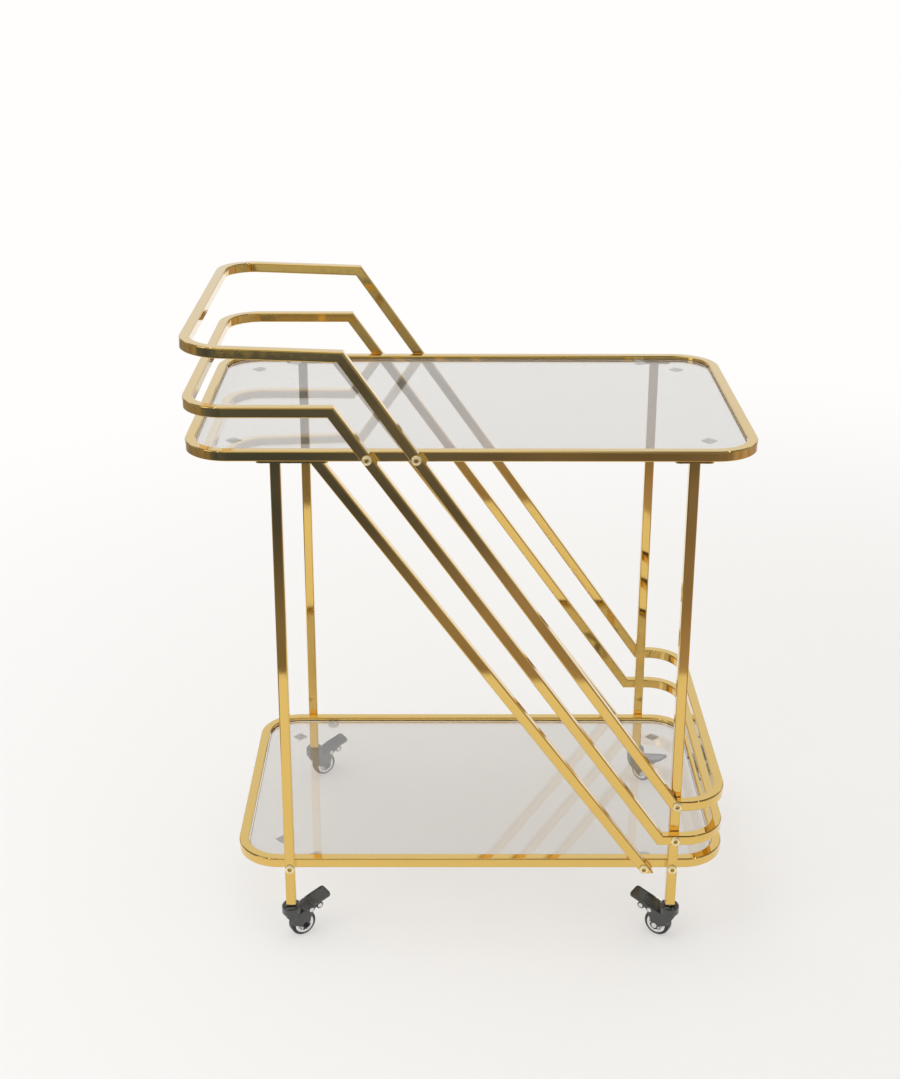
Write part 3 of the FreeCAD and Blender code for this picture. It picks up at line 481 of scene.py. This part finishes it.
def axleFinish(joint):
    # black head and bright nut: the side of the wheel's middle is the place's share along the axle
    made = Finish("blackOxide_" + joint["name"], Metallic=1.0)
    made.handled(axleTones["smears"], axleTones["clean"], axleTones["smeared"])
    offset = vectorNode(made.tree, "SUBTRACT", "Vector", made.place, joint["pos_m"])
    along = vectorNode(made.tree, "DOT_PRODUCT", "Value", offset, joint["axis"])
    nutSide = mathNode(made.tree, "GREATER_THAN", along, 0.0)
    tone = colourNode(made.tree, nutSide, axleTones["head"], axleTones["nut"])
    made.link(tone, made.shader.inputs["Base Color"])
    return made.material


# well is painted shade down in the socket, crest a painted highlight on the head's crest
screwPaintedLight = dict(
    well=(0.50, 0.33, 0.08, 1), crest=(0.98, 0.84, 0.50, 1), breakup=90.0,
    smears=150.0, clean=0.16, smeared=0.28,
)


def screwFinish():
    # satin gold head, its crest painted paler as a highlight and its socket painted darker as shade
    made = Finish("screwHead", Metallic=0.65)
    made.handled(screwPaintedLight["smears"], screwPaintedLight["clean"], screwPaintedLight["smeared"])
    made.toned(made.edgeMarks(), screwPaintedLight["well"], screwPaintedLight["crest"], screwPaintedLight["breakup"])
    return made.material


finishes = dict(
    screwHead=screwFinish(),
    goldTube=goldFinish("goldTube", True),
    goldSmall=goldFinish("goldSmall", False),
    smokedGlass=glassFinish(),
    clearPad=clearPadFinish(),
)
finishes.update({name: mouldedFinish(name, **look) for name, look in moulded.items()})
finishes.update({name: brightFinish(name, **look) for name, look in bright.items()})
print("finishes mixed")

# Square tube: the profile that all of the frame is bent and cut from.
tube = dict(size=0.014, wall=0.0012, edge=0.0016, edgeSteps=6, bendSteps=28, lead=0.0004)
topLow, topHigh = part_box("top_frame")
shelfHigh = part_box("bottom_frame")[1]
halfTube = tube["size"] / 2
centreLine = (topLow.y + topHigh.y) / 2
halfWidth = (topHigh.y - topLow.y) / 2
screwLine = topHigh.z - halfTube
leftLegX, rightLegX = (sum(end.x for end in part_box("leg_front_" + hand)) / 2 for hand in ("left", "right"))
layers = {"leg": halfWidth - halfTube, "strut": halfWidth + halfTube}   # middle of each layer of tube
upwards = np.array([0.0, 0.0, 1.0])
sides = (("front", -1), ("rear", 1))


def tubeProfile(inset=0.0):
    # square with quarter-round edges, drawn in all round by the inset
    half = halfTube - inset
    radius = max(tube["edge"] - inset, tube["lead"])
    return roundedOutline(half, half, [radius] * 4, tube["edgeSteps"], tube["lead"])


def sweptTube(line, outwards, up, mitres=(), inset=0.0):
    # each point of the profile goes out along the bend's normal and up; at an open end it slides
    # along the tube until it lies in the mitre plane
    profile, _, marks = tubeProfile(inset)
    across = profile[None, :, 0, None] * outwards[:, None, :]
    points = line[:, None, :] + across + profile[None, :, 1, None] * up
    for end, normal in zip((0, -1), mitres):
        along = np.cross(up, outwards[end])
        off = (points[end] - line[end]) @ normal
        points[end] -= (off / (along @ normal))[:, None] * along
    return points, marks


def ringTube(low, high, corner):
    # closed bend in a level plane: the profile carried along a rounded rectangle
    half = [(high[n] - low[n]) / 2 - halfTube for n in (0, 1)]
    middle = [(high[n] + low[n]) / 2 for n in range(3)]
    outline, normals, _ = roundedOutline(*half, [corner - halfTube] * 4, tube["bendSteps"])
    line = np.column_stack([outline, np.zeros(len(outline))]) + middle
    outwards = np.column_stack([normals, np.zeros(len(normals))])
    points, marks = sweptTube(line, outwards, upwards)
    return outward(gridShape(points, True, True, edge=marks))


def openTube(line, outwards, up, mitres):
    # outer skin down the tube and inner skin back up it, which closes over both cut ends
    outer, marks = sweptTube(line, outwards, up, mitres)
    inner, _ = sweptTube(line, outwards, up, mitres, tube["wall"])
    return outward(gridShape(np.concatenate([outer, inner[::-1]]), True, True, edge=marks))


def straightTube(start, end, mitres):
    # the profile at both ends of a straight line, slid into the two cuts
    line = np.array([start, end])
    sideways = np.array([[0.0, 1.0, 0.0]] * 2)
    along = (line[1] - line[0]) / np.linalg.norm(line[1] - line[0])
    return openTube(line, sideways, np.cross(along, sideways[0]), mitres)


def loopTube(tip, bend, halfDepth, corner, tilt, mitre):
    # from a tip at the strut along one side, round two corners and back along the other side; each
    # corner is a quarter circle, and the whole loop is tilted about its tips
    way = 1.0 if bend > tip[0] else -1.0
    radius = corner - halfTube
    turn = np.radians(np.linspace(0, 90, tube["bendSteps"] + 1))
    side = np.stack([
        bend - way * radius * (1 - np.sin(turn)),
        -halfDepth + radius * (1 - np.cos(turn)),
        np.full(len(turn), tip[1]),
    ], -1)
    normal = np.stack([way * np.sin(turn), -np.cos(turn), np.zeros(len(turn))], -1)
    line = np.concatenate([[[tip[0], -halfDepth, tip[1]]], side])
    outwards = np.concatenate([normal[:1], normal])
    mirror = np.array([1.0, -1.0, 1.0])
    line = np.concatenate([line, line[::-1] * mirror]) + np.array([0.0, centreLine, 0.0])
    outwards = np.concatenate([outwards, outwards[::-1] * mirror])
    line = turnAboutY(line, tilt, (tip[0], centreLine, tip[1]))
    plane = slopeNormal(mitre)
    return openTube(line, turnAboutY(outwards, tilt), turnAboutY(upwards, tilt), (plane, plane))


def slopeNormal(degrees):
    # normal of a plane across the trolley that is tilted from upright by an angle
    return np.array([math.cos(math.radians(degrees)), 0.0, -math.sin(math.radians(degrees))])


def slopeOf(slant, foot):
    # slope in degrees of a slanted tube, from its place on the top frame to its foot by the right leg
    run = rightLegX - slant["short"] - topLow.x - slant["inset"]
    return math.degrees(math.atan((screwLine - foot) / run))


def slantX(slant, slope, height):
    # place of a slanted tube's middle at a height
    return topLow.x + slant["inset"] - (height - screwLine) / math.tan(math.radians(slope))


def addTube(name, shape, node):
    # every tube is gold, fixed to the frame and stands for one node
    addPiece(name, shape, "root", finishes["goldTube"], [node])


ringCorner = 0.062
for name, node in (("topFrameRing", "top_frame"), ("bottomFrameRing", "bottom_frame")):
    addTube(name, ringTube(*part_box(node), ringCorner), node)
print("shelf frames bent")

# The two handle hoops run into struts, and these into guard rails: mitred where they meet. Inset is
# from the top frame's left end, short is how far the foot stays from the right leg's middle.
loops = {
    "upper": dict(inset=0.304, short=0.0034, hoopTop=0.873, rise=2.0, railTop=0.2325),
    "lower": dict(inset=0.241, short=0.021, hoopTop=0.801, rise=0.0, railTop=0.178),
}
loopEnds = dict(corner=0.060, hoopInset=0.002, railInset=0.007)
slants = {}
for level, slant in loops.items():
    railHeight = slant["railTop"] - halfTube
    slope, rise = slopeOf(slant, railHeight), slant["rise"]
    hoopMitre, railMitre = (slope + rise) / 2, slope / 2
    widening = math.cos(math.radians(hoopMitre)) / math.cos(math.radians((slope - rise) / 2))
    hoopHeight = slant["hoopTop"] - halfTube * widening
    hoopTip = (slantX(slant, slope, hoopHeight), hoopHeight)
    railTip = (slantX(slant, slope, railHeight), railHeight)

    hoopReach = (hoopTip[0] - topLow.x - loopEnds["hoopInset"]) / math.cos(math.radians(rise))
    hoopBend = hoopTip[0] - hoopReach + halfTube
    hoop = loopTube(hoopTip, hoopBend, layers["strut"], loopEnds["corner"], rise, hoopMitre)
    addTube(level + "Hoop", hoop, level + "_handle_hoop")

    railBend = shelfHigh.x - loopEnds["railInset"] - halfTube
    rail = loopTube(railTip, railBend, layers["strut"], loopEnds["corner"], 0.0, railMitre)
    addTube(level + "Rail", rail, level + "_guard_rail")

    for end, side in sides:
        y = centreLine + side * layers["strut"]
        planes = (slopeNormal(hoopMitre), slopeNormal(railMitre))
        strut = straightTube((hoopTip[0], y, hoopTip[1]), (railTip[0], y, railTip[1]), planes)
        addTube(f"{level}Strut{end.capitalize()}", strut, f"{level}_strut_{end}")
    slants[level] = (slant, slope)
print("hoops, struts and rails joined")

# Braces and legs are cut level at both ends.
brace = dict(inset=0.170, short=0.0399)
shelfLine = shelfHigh.z - halfTube
braceSlope = slopeOf(brace, shelfLine)
slants["brace"] = (brace, braceSlope)
for end, side in sides:
    y = centreLine + side * layers["leg"]
    node = f"brace_{end}"
    low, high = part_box(node)
    top, foot = ((slantX(brace, braceSlope, z), y, z) for z in (high.z, low.z))
    addTube(f"brace{end.capitalize()}", straightTube(top, foot, (upwards, upwards)), node)
    for hand in ("left", "right"):
        node = f"leg_{end}_{hand}"
        low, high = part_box(node)
        x = (low.x + high.x) / 2
        leg = straightTube((x, y, high.z), (x, y, low.z), (upwards, upwards))
        addTube(f"leg{end.capitalize()}{hand.capitalize()}", leg, node)
print("legs and braces cut")

# Button-head screws through the tubes. Each head has a round crest and falls towards its socket.
screw = dict(
    radius=0.0066, height=0.0032, brim=0.0008, crest=0.0047, dip=0.0009,
    socket=0.0027, depth=0.0022, lip=0.0002, drop=0.0001, taper=0.999,
    # the socket's wellRings are painted in shade; pale is the strength of the crest's painted highlight
    shank=0.0025, bite=0.022, turnSteps=48, curveSteps=10, wellRings=4, pale=2.0,
)


def screwShape(x, z, side, layer):
    # a profile from the socket's floor over the crest and down the shank, carried round the screw's
    # axis; the socket's radius swells to six corners with the angle
    steps = screw["turnSteps"]
    angle = np.linspace(0, 2 * math.pi, steps, endpoint=False)
    sixth = math.pi / 3
    hexagon = math.cos(sixth / 2) / np.cos(angle % sixth - sixth / 2) * screw["socket"]
    high, rim, crest = screw["height"], screw["radius"], screw["crest"]
    swing = np.linspace(0, math.pi / 2, screw["curveSteps"])
    inner = crest - (crest - screw["socket"] - screw["lip"]) * np.cos(swing)
    innerHigh = high - screw["dip"] * (1 - np.sin(swing))
    outer = crest + (rim - crest) * np.sin(swing[1:])
    outerHigh = screw["brim"] + (high - screw["brim"]) * np.cos(swing[1:])
    radius = np.concatenate([inner, outer, [rim, screw["shank"], screw["shank"]]])
    height = np.concatenate([innerHigh, outerHigh, [0, 0, -screw["bite"]]])
    well = np.stack([hexagon * screw["taper"], hexagon], -1)
    radius = np.concatenate([well, np.broadcast_to(radius, (steps, len(radius)))], 1)
    height = np.concatenate([[high - screw["depth"], high - screw["dip"] - screw["drop"]], height])
    face = centreLine + side * (layers[layer] + halfTube)
    points = np.stack([
        x + radius * np.cos(angle)[:, None],
        np.broadcast_to(face + side * height, radius.shape),
        z + radius * np.sin(angle)[:, None],
    ], -1)
    count = radius.shape[1]
    firsts = range(0, steps * count, count)
    caps = (reversed(firsts), [first + count - 1 for first in firsts])
    # the socket's rings take none of the painted highlight and stay in painted shade; the rest take it,
    # doubled
    crestHighlight = np.where(np.arange(count) < screw["wellRings"], 0.0, screw["pale"])
    return outward(gridShape(points, True, False, caps, crestHighlight))


screwSeats = [(slantX(*slants[level], screwLine), screwLine, "strut") for level in loops]
screwSeats += [(rightLegX, slant["railTop"] - halfTube, "strut") for slant in loops.values()]
screwSeats += [(x, shelfLine, "leg") for x in (leftLegX, rightLegX, slantX(*slants["brace"], shelfLine))]
screws = joined([screwShape(x, z, side, layer) for _, side in sides for x, z, layer in screwSeats])
addPiece("frameScrewHeads", screws, "root", finishes["screwHead"], ["frame_screws"])
print("screws turned")


def flatPlate(centre, half, corners, low, high, edge, steps, edgeSteps=1, turn=0.0):
    # a rounded outline drawn in along a quarter circle at its lower and its upper edge, then turned
    # in its plane
    outline, normals, _ = roundedOutline(*half, corners, steps)
    swing = np.radians(np.linspace(0, 90, edgeSteps + 1))
    inwards = np.concatenate([edge * (1 - np.sin(swing)), edge * (1 - np.cos(swing))])
    heights = np.concatenate([low + edge * (1 - np.cos(swing)), high - edge * (1 - np.sin(swing))])
    flat = outline[None] - inwards[:, None, None] * normals[None]
    angle = math.radians(turn)
    x = centre[0] + flat[..., 0] * math.cos(angle) - flat[..., 1] * math.sin(angle)
    y = centre[1] + flat[..., 0] * math.sin(angle) + flat[..., 1] * math.cos(angle)
    z = np.broadcast_to(heights[:, None], x.shape)
    count = len(outline)
    last = (len(heights) - 1) * count
    caps = (range(count), range(last + count - 1, last - 1, -1))
    return outward(gridShape(np.stack([x, y, z], -1), False, True, caps))


# Glass let into each frame, on four clear pads over welded tabs, with square spacers by the corners.
pane = dict(gap=0.001, arris=0.0006, cornerSteps=28)
pad = dict(radius=0.0085, inset=0.114, edge=0.0004, steps=10, edgeSteps=3)
tab = dict(radius=0.0075, edge=0.0002, steps=10)
spacer = dict(
    size=0.016, thickness=0.0012, inset=0.063, corner=0.0012, edge=0.0003, steps=4, edgeSteps=2, turn=45.0
)
breath = 0.00005   # between the glass and what it rests on, so that light reaches both faces


def padShape(x, side, wall, low, high):
    # a round disc against the frame's inner wall
    middle = (x, centreLine + side * (wall - pad["radius"]))
    radii = [pad["radius"]] * 4
    return flatPlate(
        middle, radii[:2], radii, low, high - breath, pad["edge"], pad["steps"], pad["edgeSteps"]
    )


def tabShape(x, side, wall, low, high):
    # a plate from the frame's inner wall out under the pad, half-round about the pad's middle
    half = (tab["radius"], (pad["radius"] + tab["radius"]) / 2)
    middle = (x, centreLine + side * (wall - half[1]))
    free, held = tab["radius"], 2 * tab["edge"]
    corners = [held, held, free, free] if side > 0 else [free, free, held, held]
    return flatPlate(middle, half, corners, low, high, tab["edge"], tab["steps"])


def spacerShape(x, side, wall, under):
    # a small square standing on its corner, as seen from above
    middle = (x, centreLine + side * (wall + tube["size"] - spacer["inset"]))
    half, corners = [spacer["size"] / 2] * 2, [spacer["corner"]] * 4
    return flatPlate(
        middle, half, corners, under - spacer["thickness"], under - breath,
        spacer["edge"], spacer["steps"], spacer["edgeSteps"], spacer["turn"],
    )


spacers = []
for shelf, frameNode in (("top_glass", "top_frame"), ("bottom_glass", "bottom_frame")):
    frameLow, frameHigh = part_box(frameNode)
    low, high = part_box(shelf)
    half = ((high.x - low.x) / 2, (high.y - low.y) / 2)
    centre = ((high.x + low.x) / 2, centreLine)
    corners = [ringCorner - tube["size"] - pane["gap"]] * 4
    plate = flatPlate(centre, half, corners, low.z, high.z, pane["arris"], pane["cornerSteps"])
    stem = shelf.replace("_g", "G")
    addPiece(stem + "Pane", plate, "root", finishes["smokedGlass"], [shelf])

    padNode, tabNode = shelf + "_pads", shelf + "_tabs"
    padLow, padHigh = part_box(padNode)
    tabLow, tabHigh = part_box(tabNode)
    wall = (frameHigh.y - frameLow.y) / 2 - tube["size"]
    pads, tabs = [], []
    for _, side in sides:
        for x, inwards in ((frameLow.x, 1), (frameHigh.x, -1)):
            padX = x + inwards * pad["inset"]
            pads.append(padShape(padX, side, wall, padLow.z, padHigh.z))
            tabs.append(tabShape(padX, side, wall, tabLow.z, tabHigh.z))
            spacers.append(spacerShape(x + inwards * spacer["inset"], side, wall, low.z))
    addPiece(stem + "PadDiscs", joined(pads), "root", finishes["clearPad"], [padNode])
    addPiece(stem + "TabPlates", joined(tabs), "root", finishes["goldSmall"], [tabNode])
addPiece("spacerSquares", joined(spacers), "root", finishes["greyPad"], ["glass_spacers"])
print("glass laid in")


# Casters: wheel and hub are turned about the axle that each wheel's joint gives.
tyre = dict(
    radius=0.019, width=0.015, shoulder=0.004, seat=0.0142, steps=65,
    groove=0.00045, grooveAt=0.0022, grooveWidth=0.00035,
)
hub = dict(
    radius=0.0142, proud=0.0004, ring=0.0112, floor=0.0080, depth=0.0030, dishSteps=8,
    boss=0.0048, bossSink=0.0004, bore=0.00305, bossSteps=6, ribs=6, ribHeight=0.0009,
    bossRound=0.0003, bossFoot=0.0002, dishFoot=0.0004, rimRound=0.0006, rimDrop=0.0005,
)
turnSteps = 96


def turnedAbout(joint, across, radius):
    # a profile of places along the axle and radii, which may change with the angle, carried round
    angle = np.linspace(0, 2 * math.pi, turnSteps, endpoint=False)[:, None]
    axle = np.array(joint["axis"])
    level = np.cross(axle, upwards)
    up = np.cross(level, axle)
    out = np.cos(angle)[..., None] * level + np.sin(angle)[..., None] * up
    radius = np.broadcast_to(radius, (turnSteps, radius.shape[-1]))
    across = np.broadcast_to(across, radius.shape)
    points = across[..., None] * axle + radius[..., None] * out + np.array(joint["pos_m"])
    return outward(gridShape(points, True, True))


def tyreShape(joint):
    # flat tread with quarter-round shoulders, less two shallow bell-shaped grooves
    half = tyre["width"] / 2
    across = half * np.sin(np.linspace(-math.pi / 2, math.pi / 2, tyre["steps"]))
    past = np.clip(np.abs(across) - (half - tyre["shoulder"]), 0, tyre["shoulder"])
    drop = tyre["shoulder"] - np.sqrt(np.clip(tyre["shoulder"] ** 2 - past ** 2, 0, None))
    offs = [(across - side * tyre["grooveAt"]) / tyre["grooveWidth"] for side in (-1, 1)]
    tread = tyre["radius"] - drop - tyre["groove"] * sum(np.exp(-(off ** 2)) for off in offs)
    return turnedAbout(
        joint,
        np.concatenate([across, [half, -half]]),
        np.concatenate([tread, [tyre["seat"]] * 2]),
    )


def hubShape(joint):
    # bright ring, dish and boss on both faces: the dish falls from ring to floor as a smooth step, and
    # swells into ribs with the angle
    radii = np.concatenate([
        [hub["bore"], hub["boss"] - hub["bossRound"], hub["boss"]],
        np.linspace(hub["boss"] + hub["bossFoot"], hub["floor"], hub["bossSteps"]),
        np.linspace(hub["floor"] + hub["dishFoot"], hub["ring"], hub["dishSteps"]),
        [hub["radius"] - hub["rimRound"], hub["radius"]],
    ])
    face = tyre["width"] / 2 + hub["proud"]
    rise = np.clip((radii - hub["floor"]) / (hub["ring"] - hub["floor"]), 0, 1)
    level = face - hub["depth"] * (1 - rise * rise * (3 - 2 * rise))
    level = np.where(radii <= hub["boss"], face - hub["bossSink"], level)
    level[-1] -= hub["rimDrop"]
    angle = np.linspace(0, 2 * math.pi, turnSteps, endpoint=False)[:, None]
    middle = (hub["boss"] + hub["ring"]) / 2
    reach = (hub["ring"] - hub["boss"]) / 2
    inDish = np.clip(1 - ((radii - middle) / reach) ** 2, 0, 1)
    ribs = hub["ribHeight"] * inDish * np.clip(np.cos(hub["ribs"] * angle), 0, 1) ** 2
    outer = level + ribs
    across = np.concatenate([outer, -outer[:, ::-1]], 1)
    return turnedAbout(joint, across, np.concatenate([radii, radii[::-1]]))


def refinish(piece, material):
    # one material in place of those that the frame gave
    piece.data.materials.clear()
    piece.data.materials.append(material)


for corner in [f"{end}_{hand}" for end in ("front", "rear") for hand in ("left", "right")]:
    joint = joints["wheel_spin_" + corner]
    body = "wheel_" + corner
    label = corner.title().replace("_", "")
    tyreNode, hubNode = "caster_tyre_" + corner, "caster_hub_" + corner
    addPiece("tyre" + label, tyreShape(joint), body, finishes["tyreRubber"], [tyreNode])
    addPiece("hub" + label, hubShape(joint), body, finishes["chromeHub"], [hubNode])
    refinish(nodes["caster_axle_" + corner], axleFinish(joint))
print("wheels turned")

# What stays as the frame gives it takes its finish here.
kept = {
    "fixing_plates": "goldSmall", "plate_screws": "goldScrew", "leg_inserts": "insertPlastic",
    "caster_stem": "zincSteel", "caster_housing": "blackPlastic", "pedal_pin": "polishedRivet",
    "brake_pedal": "blackPlastic", "brake_rivet": "polishedRivet",
}
for node, piece in nodes.items():
    finish = next((kept[start] for start in kept if node.startswith(start)), None)
    if finish:
        refinish(piece, finishes[finish])
print("frame nodes finished")

# Pale floor, brought up to the backdrop's white for camera and glass, less so close to the trolley.
# The plating mirrors a sheet of white paper that ends a metre in front and beside the trolley; past
# it lies a darker, cluttered room, brown by the paper and cooler further off, up to a pale wall.
floor = dict(
    size=60.0, colour=(0.87, 0.845, 0.81, 1), white=(1.0, 0.99, 0.975, 1),
    # shaded stands right of the trolley, so the floor there keeps less white: painted shade as of light from
    # the left
    shaded=(0.55, 0.1, 0.0), leastWhite=0.45, whiten=(0.4, 2.6),
    paperFront=-1.05, paperSides=0.90, paperSpread=0.45, paperSoft=0.012, wall=-3.33, wallSoft=0.03,
    cooling=(-1.05, -1.95), leftToRight=(-0.55, 0.60),
    clutterSize=1.3, clutterDetail=2, clutterNoise=(0.36, 0.64), clutterLight=(0.8, 1.3),
    nearLeft=(0.28, 0.245, 0.23, 1), nearRight=(0.46, 0.36, 0.34, 1),
    farLeft=(0.085, 0.105, 0.19, 1), farRight=(0.20, 0.17, 0.19, 1), pale=(0.55, 0.56, 0.57, 1),
)
floorMesh = bpy.data.meshes.new("floor")
reach = floor["size"] / 2
floorMesh.from_pydata(
    [(-reach, -reach, 0), (reach, -reach, 0), (reach, reach, 0), (-reach, reach, 0)], [], [(0, 1, 2, 3)]
)
floorPiece = bpy.data.objects.new("floor", floorMesh)
bpy.context.scene.collection.objects.link(floorPiece)


def floorFinish():
    # whiter with the distance from a place beside the trolley; in the plating, the room where the place
    # is past the paper's front edge or its sides, which widen to the back
    made = Finish("paleFloor", Base_Color=floor["colour"], Roughness=0.9)
    made.shader.inputs["Specular IOR Level"].default_value = 0.1
    tree = made.tree
    split = tree.nodes.new("ShaderNodeSeparateXYZ")
    made.link(made.place, split.inputs[0])
    x, y = split.outputs["X"], split.outputs["Y"]
    path = tree.nodes.new("ShaderNodeLightPath").outputs

    def glow(colour):
        # a colour that needs no light
        light = tree.nodes.new("ShaderNodeEmission")
        feed(tree, colour, light.inputs["Color"])
        return light.outputs["Emission"]

    def layer(factor, under, over):
        # the upper shader covers the lower one by the factor
        mix = tree.nodes.new("ShaderNodeMixShader")
        for source, socket in zip((factor, under, over), mix.inputs):
            made.link(source, socket)
        return mix.outputs["Shader"]

    # the place lies right of the trolley, so the floor on that side reads darker: painted shade as of light
    # from the left
    away = vectorNode(tree, "DISTANCE", "Value", made.place, floor["shaded"])
    fade = rampNode(tree, away, *floor["whiten"], floor["leastWhite"], 1.0)
    looked = mathNode(tree, "MAXIMUM", path["Is Camera Ray"], path["Is Glossy Ray"])
    looked = mathNode(tree, "MAXIMUM", looked, path["Is Transmission Ray"])
    whitened = mathNode(tree, "MULTIPLY", fade, looked)
    paper = layer(whitened, made.shader.outputs["BSDF"], glow(floor["white"]))

    front, beside, soft = floor["paperFront"], floor["paperSides"], floor["paperSoft"]
    ahead = rampNode(tree, y, front + soft, front - soft)
    outwards = mathNode(tree, "ABSOLUTE", x)
    spread = mathNode(tree, "MULTIPLY_ADD", y, -floor["paperSpread"], outwards)
    beyond = mathNode(tree, "MAXIMUM", ahead, rampNode(tree, spread, beside - soft, beside + soft))

    rightwards = rampNode(tree, x, *floor["leftToRight"])
    close = colourNode(tree, rightwards, floor["nearLeft"], floor["nearRight"])
    far = colourNode(tree, rightwards, floor["farLeft"], floor["farRight"])
    plain = colourNode(tree, rampNode(tree, y, *floor["cooling"]), close, far)
    noise = noiseNode(tree, made.place, floor["clutterSize"], floor["clutterDetail"])
    clutter = rampNode(tree, noise, *floor["clutterNoise"], *floor["clutterLight"], kind="LINEAR")
    cluttered = tree.nodes.new("ShaderNodeVectorMath")
    cluttered.operation = "SCALE"
    made.link(plain, cluttered.inputs[0])
    made.link(clutter, cluttered.inputs["Scale"])
    wall, soft = floor["wall"], floor["wallSoft"]
    atWall = rampNode(tree, y, wall + soft, wall - soft)
    seen = colourNode(tree, atWall, cluttered.outputs["Vector"], floor["pale"])

    inPlating = mathNode(tree, "MULTIPLY", beyond, path["Is Glossy Ray"])
    made.link(layer(inPlating, paper, glow(seen)), tree.nodes["Material Output"].inputs["Surface"])
    return made.material


floorMesh.materials.append(floorFinish())

# Even white light from all round. Camera and glass see a white backdrop. The plating mirrors the
# backdrop behind the trolley, and else a dark room with low pale walls, a band of windows all round
# and two small bulbs in front. Heights are sines of the angle above the horizon.
room = dict(
    light=(0.80, 0.80, 0.80, 1), seen=(1.0, 1.0, 1.0, 1), backdrop=(0.86, 0.88, 0.90, 1),
    behind=(0.70, 0.84), left=(0.025, 0.028, 0.035, 1), right=(0.045, 0.040, 0.035, 1),
    leftToRight=(-0.4, 0.4), walls=(0.50, 0.50, 0.49, 1), wallTop=(0.25, 0.29),
    ceiling=(0.05, 0.05, 0.055, 1), overhead=(0.45, 0.75),
    window=(1.1, 1.1, 1.1, 1), sill=(0.45, 0.48), head=(0.62, 0.58),
    bulb=(30.0, 30.0, 30.0, 1), bulbs=((-0.55, -0.70, 1.0), (0.75, -0.60, 1.1)),
    bulbEdge=(0.9992, 0.9997),
)
world = bpy.data.worlds.new("studio")
bpy.context.scene.world = world
world.use_nodes = True
tree = world.node_tree
tree.nodes.clear()

direction = tree.nodes.new("ShaderNodeTexCoord").outputs["Generated"]
split = tree.nodes.new("ShaderNodeSeparateXYZ")
tree.links.new(direction, split.inputs[0])
x, y, z = split.outputs
path = tree.nodes.new("ShaderNodeLightPath").outputs
around = colourNode(tree, rampNode(tree, x, *room["leftToRight"]), room["left"], room["right"])
around = colourNode(tree, rampNode(tree, z, *room["wallTop"]), room["walls"], around)
around = colourNode(tree, rampNode(tree, z, *room["overhead"]), around, room["ceiling"])
inWindow = mathNode(tree, "MULTIPLY", *(rampNode(tree, z, *room[edge]) for edge in ("sill", "head")))
around = colourNode(tree, inWindow, around, room["window"])
for bulbWay in room["bulbs"]:
    # the cosine of the angle between the mirrored direction and the way to the bulb
    cosine = vectorNode(tree, "DOT_PRODUCT", "Value", direction, Vector(bulbWay).normalized())
    around = colourNode(tree, rampNode(tree, cosine, *room["bulbEdge"]), around, room["bulb"])
mirrored = colourNode(tree, rampNode(tree, y, *room["behind"]), around, room["backdrop"])
colour = colourNode(tree, path["Is Glossy Ray"], room["light"], mirrored)
for kind in ("Is Camera Ray", "Is Transmission Ray"):
    colour = colourNode(tree, path[kind], colour, room["seen"])
background = tree.nodes.new("ShaderNodeBackground")
tree.links.new(colour, background.inputs["Color"])
tree.links.new(background.outputs["Background"], tree.nodes.new("ShaderNodeOutputWorld").inputs["Surface"])

lamps = dict(
    overhead=dict(place=(-0.4, -0.1, 2.6), target=(0.0, 0.0, 0.4), size=(2.4, 1.4), power=14.0),
    leftFill=dict(place=(-2.4, -1.6, 1.7), target=(0.0, 0.0, 0.4), size=(0.9, 1.6), power=8.0),
)
for name, lamp in lamps.items():
    light = bpy.data.lights.new(name, "AREA")
    light.shape = "RECTANGLE"
    light.size, light.size_y = lamp["size"]
    light.energy = lamp["power"]
    source = bpy.data.objects.new(name, light)
    source.location = lamp["place"]
    aim = Vector(lamp["target"]) - Vector(lamp["place"])
    source.rotation_euler = aim.to_track_quat("-Z", "Y").to_euler()
    bpy.context.scene.collection.objects.link(source)
bpy.context.scene.view_settings.view_transform = "Standard"
print("floor and light set")
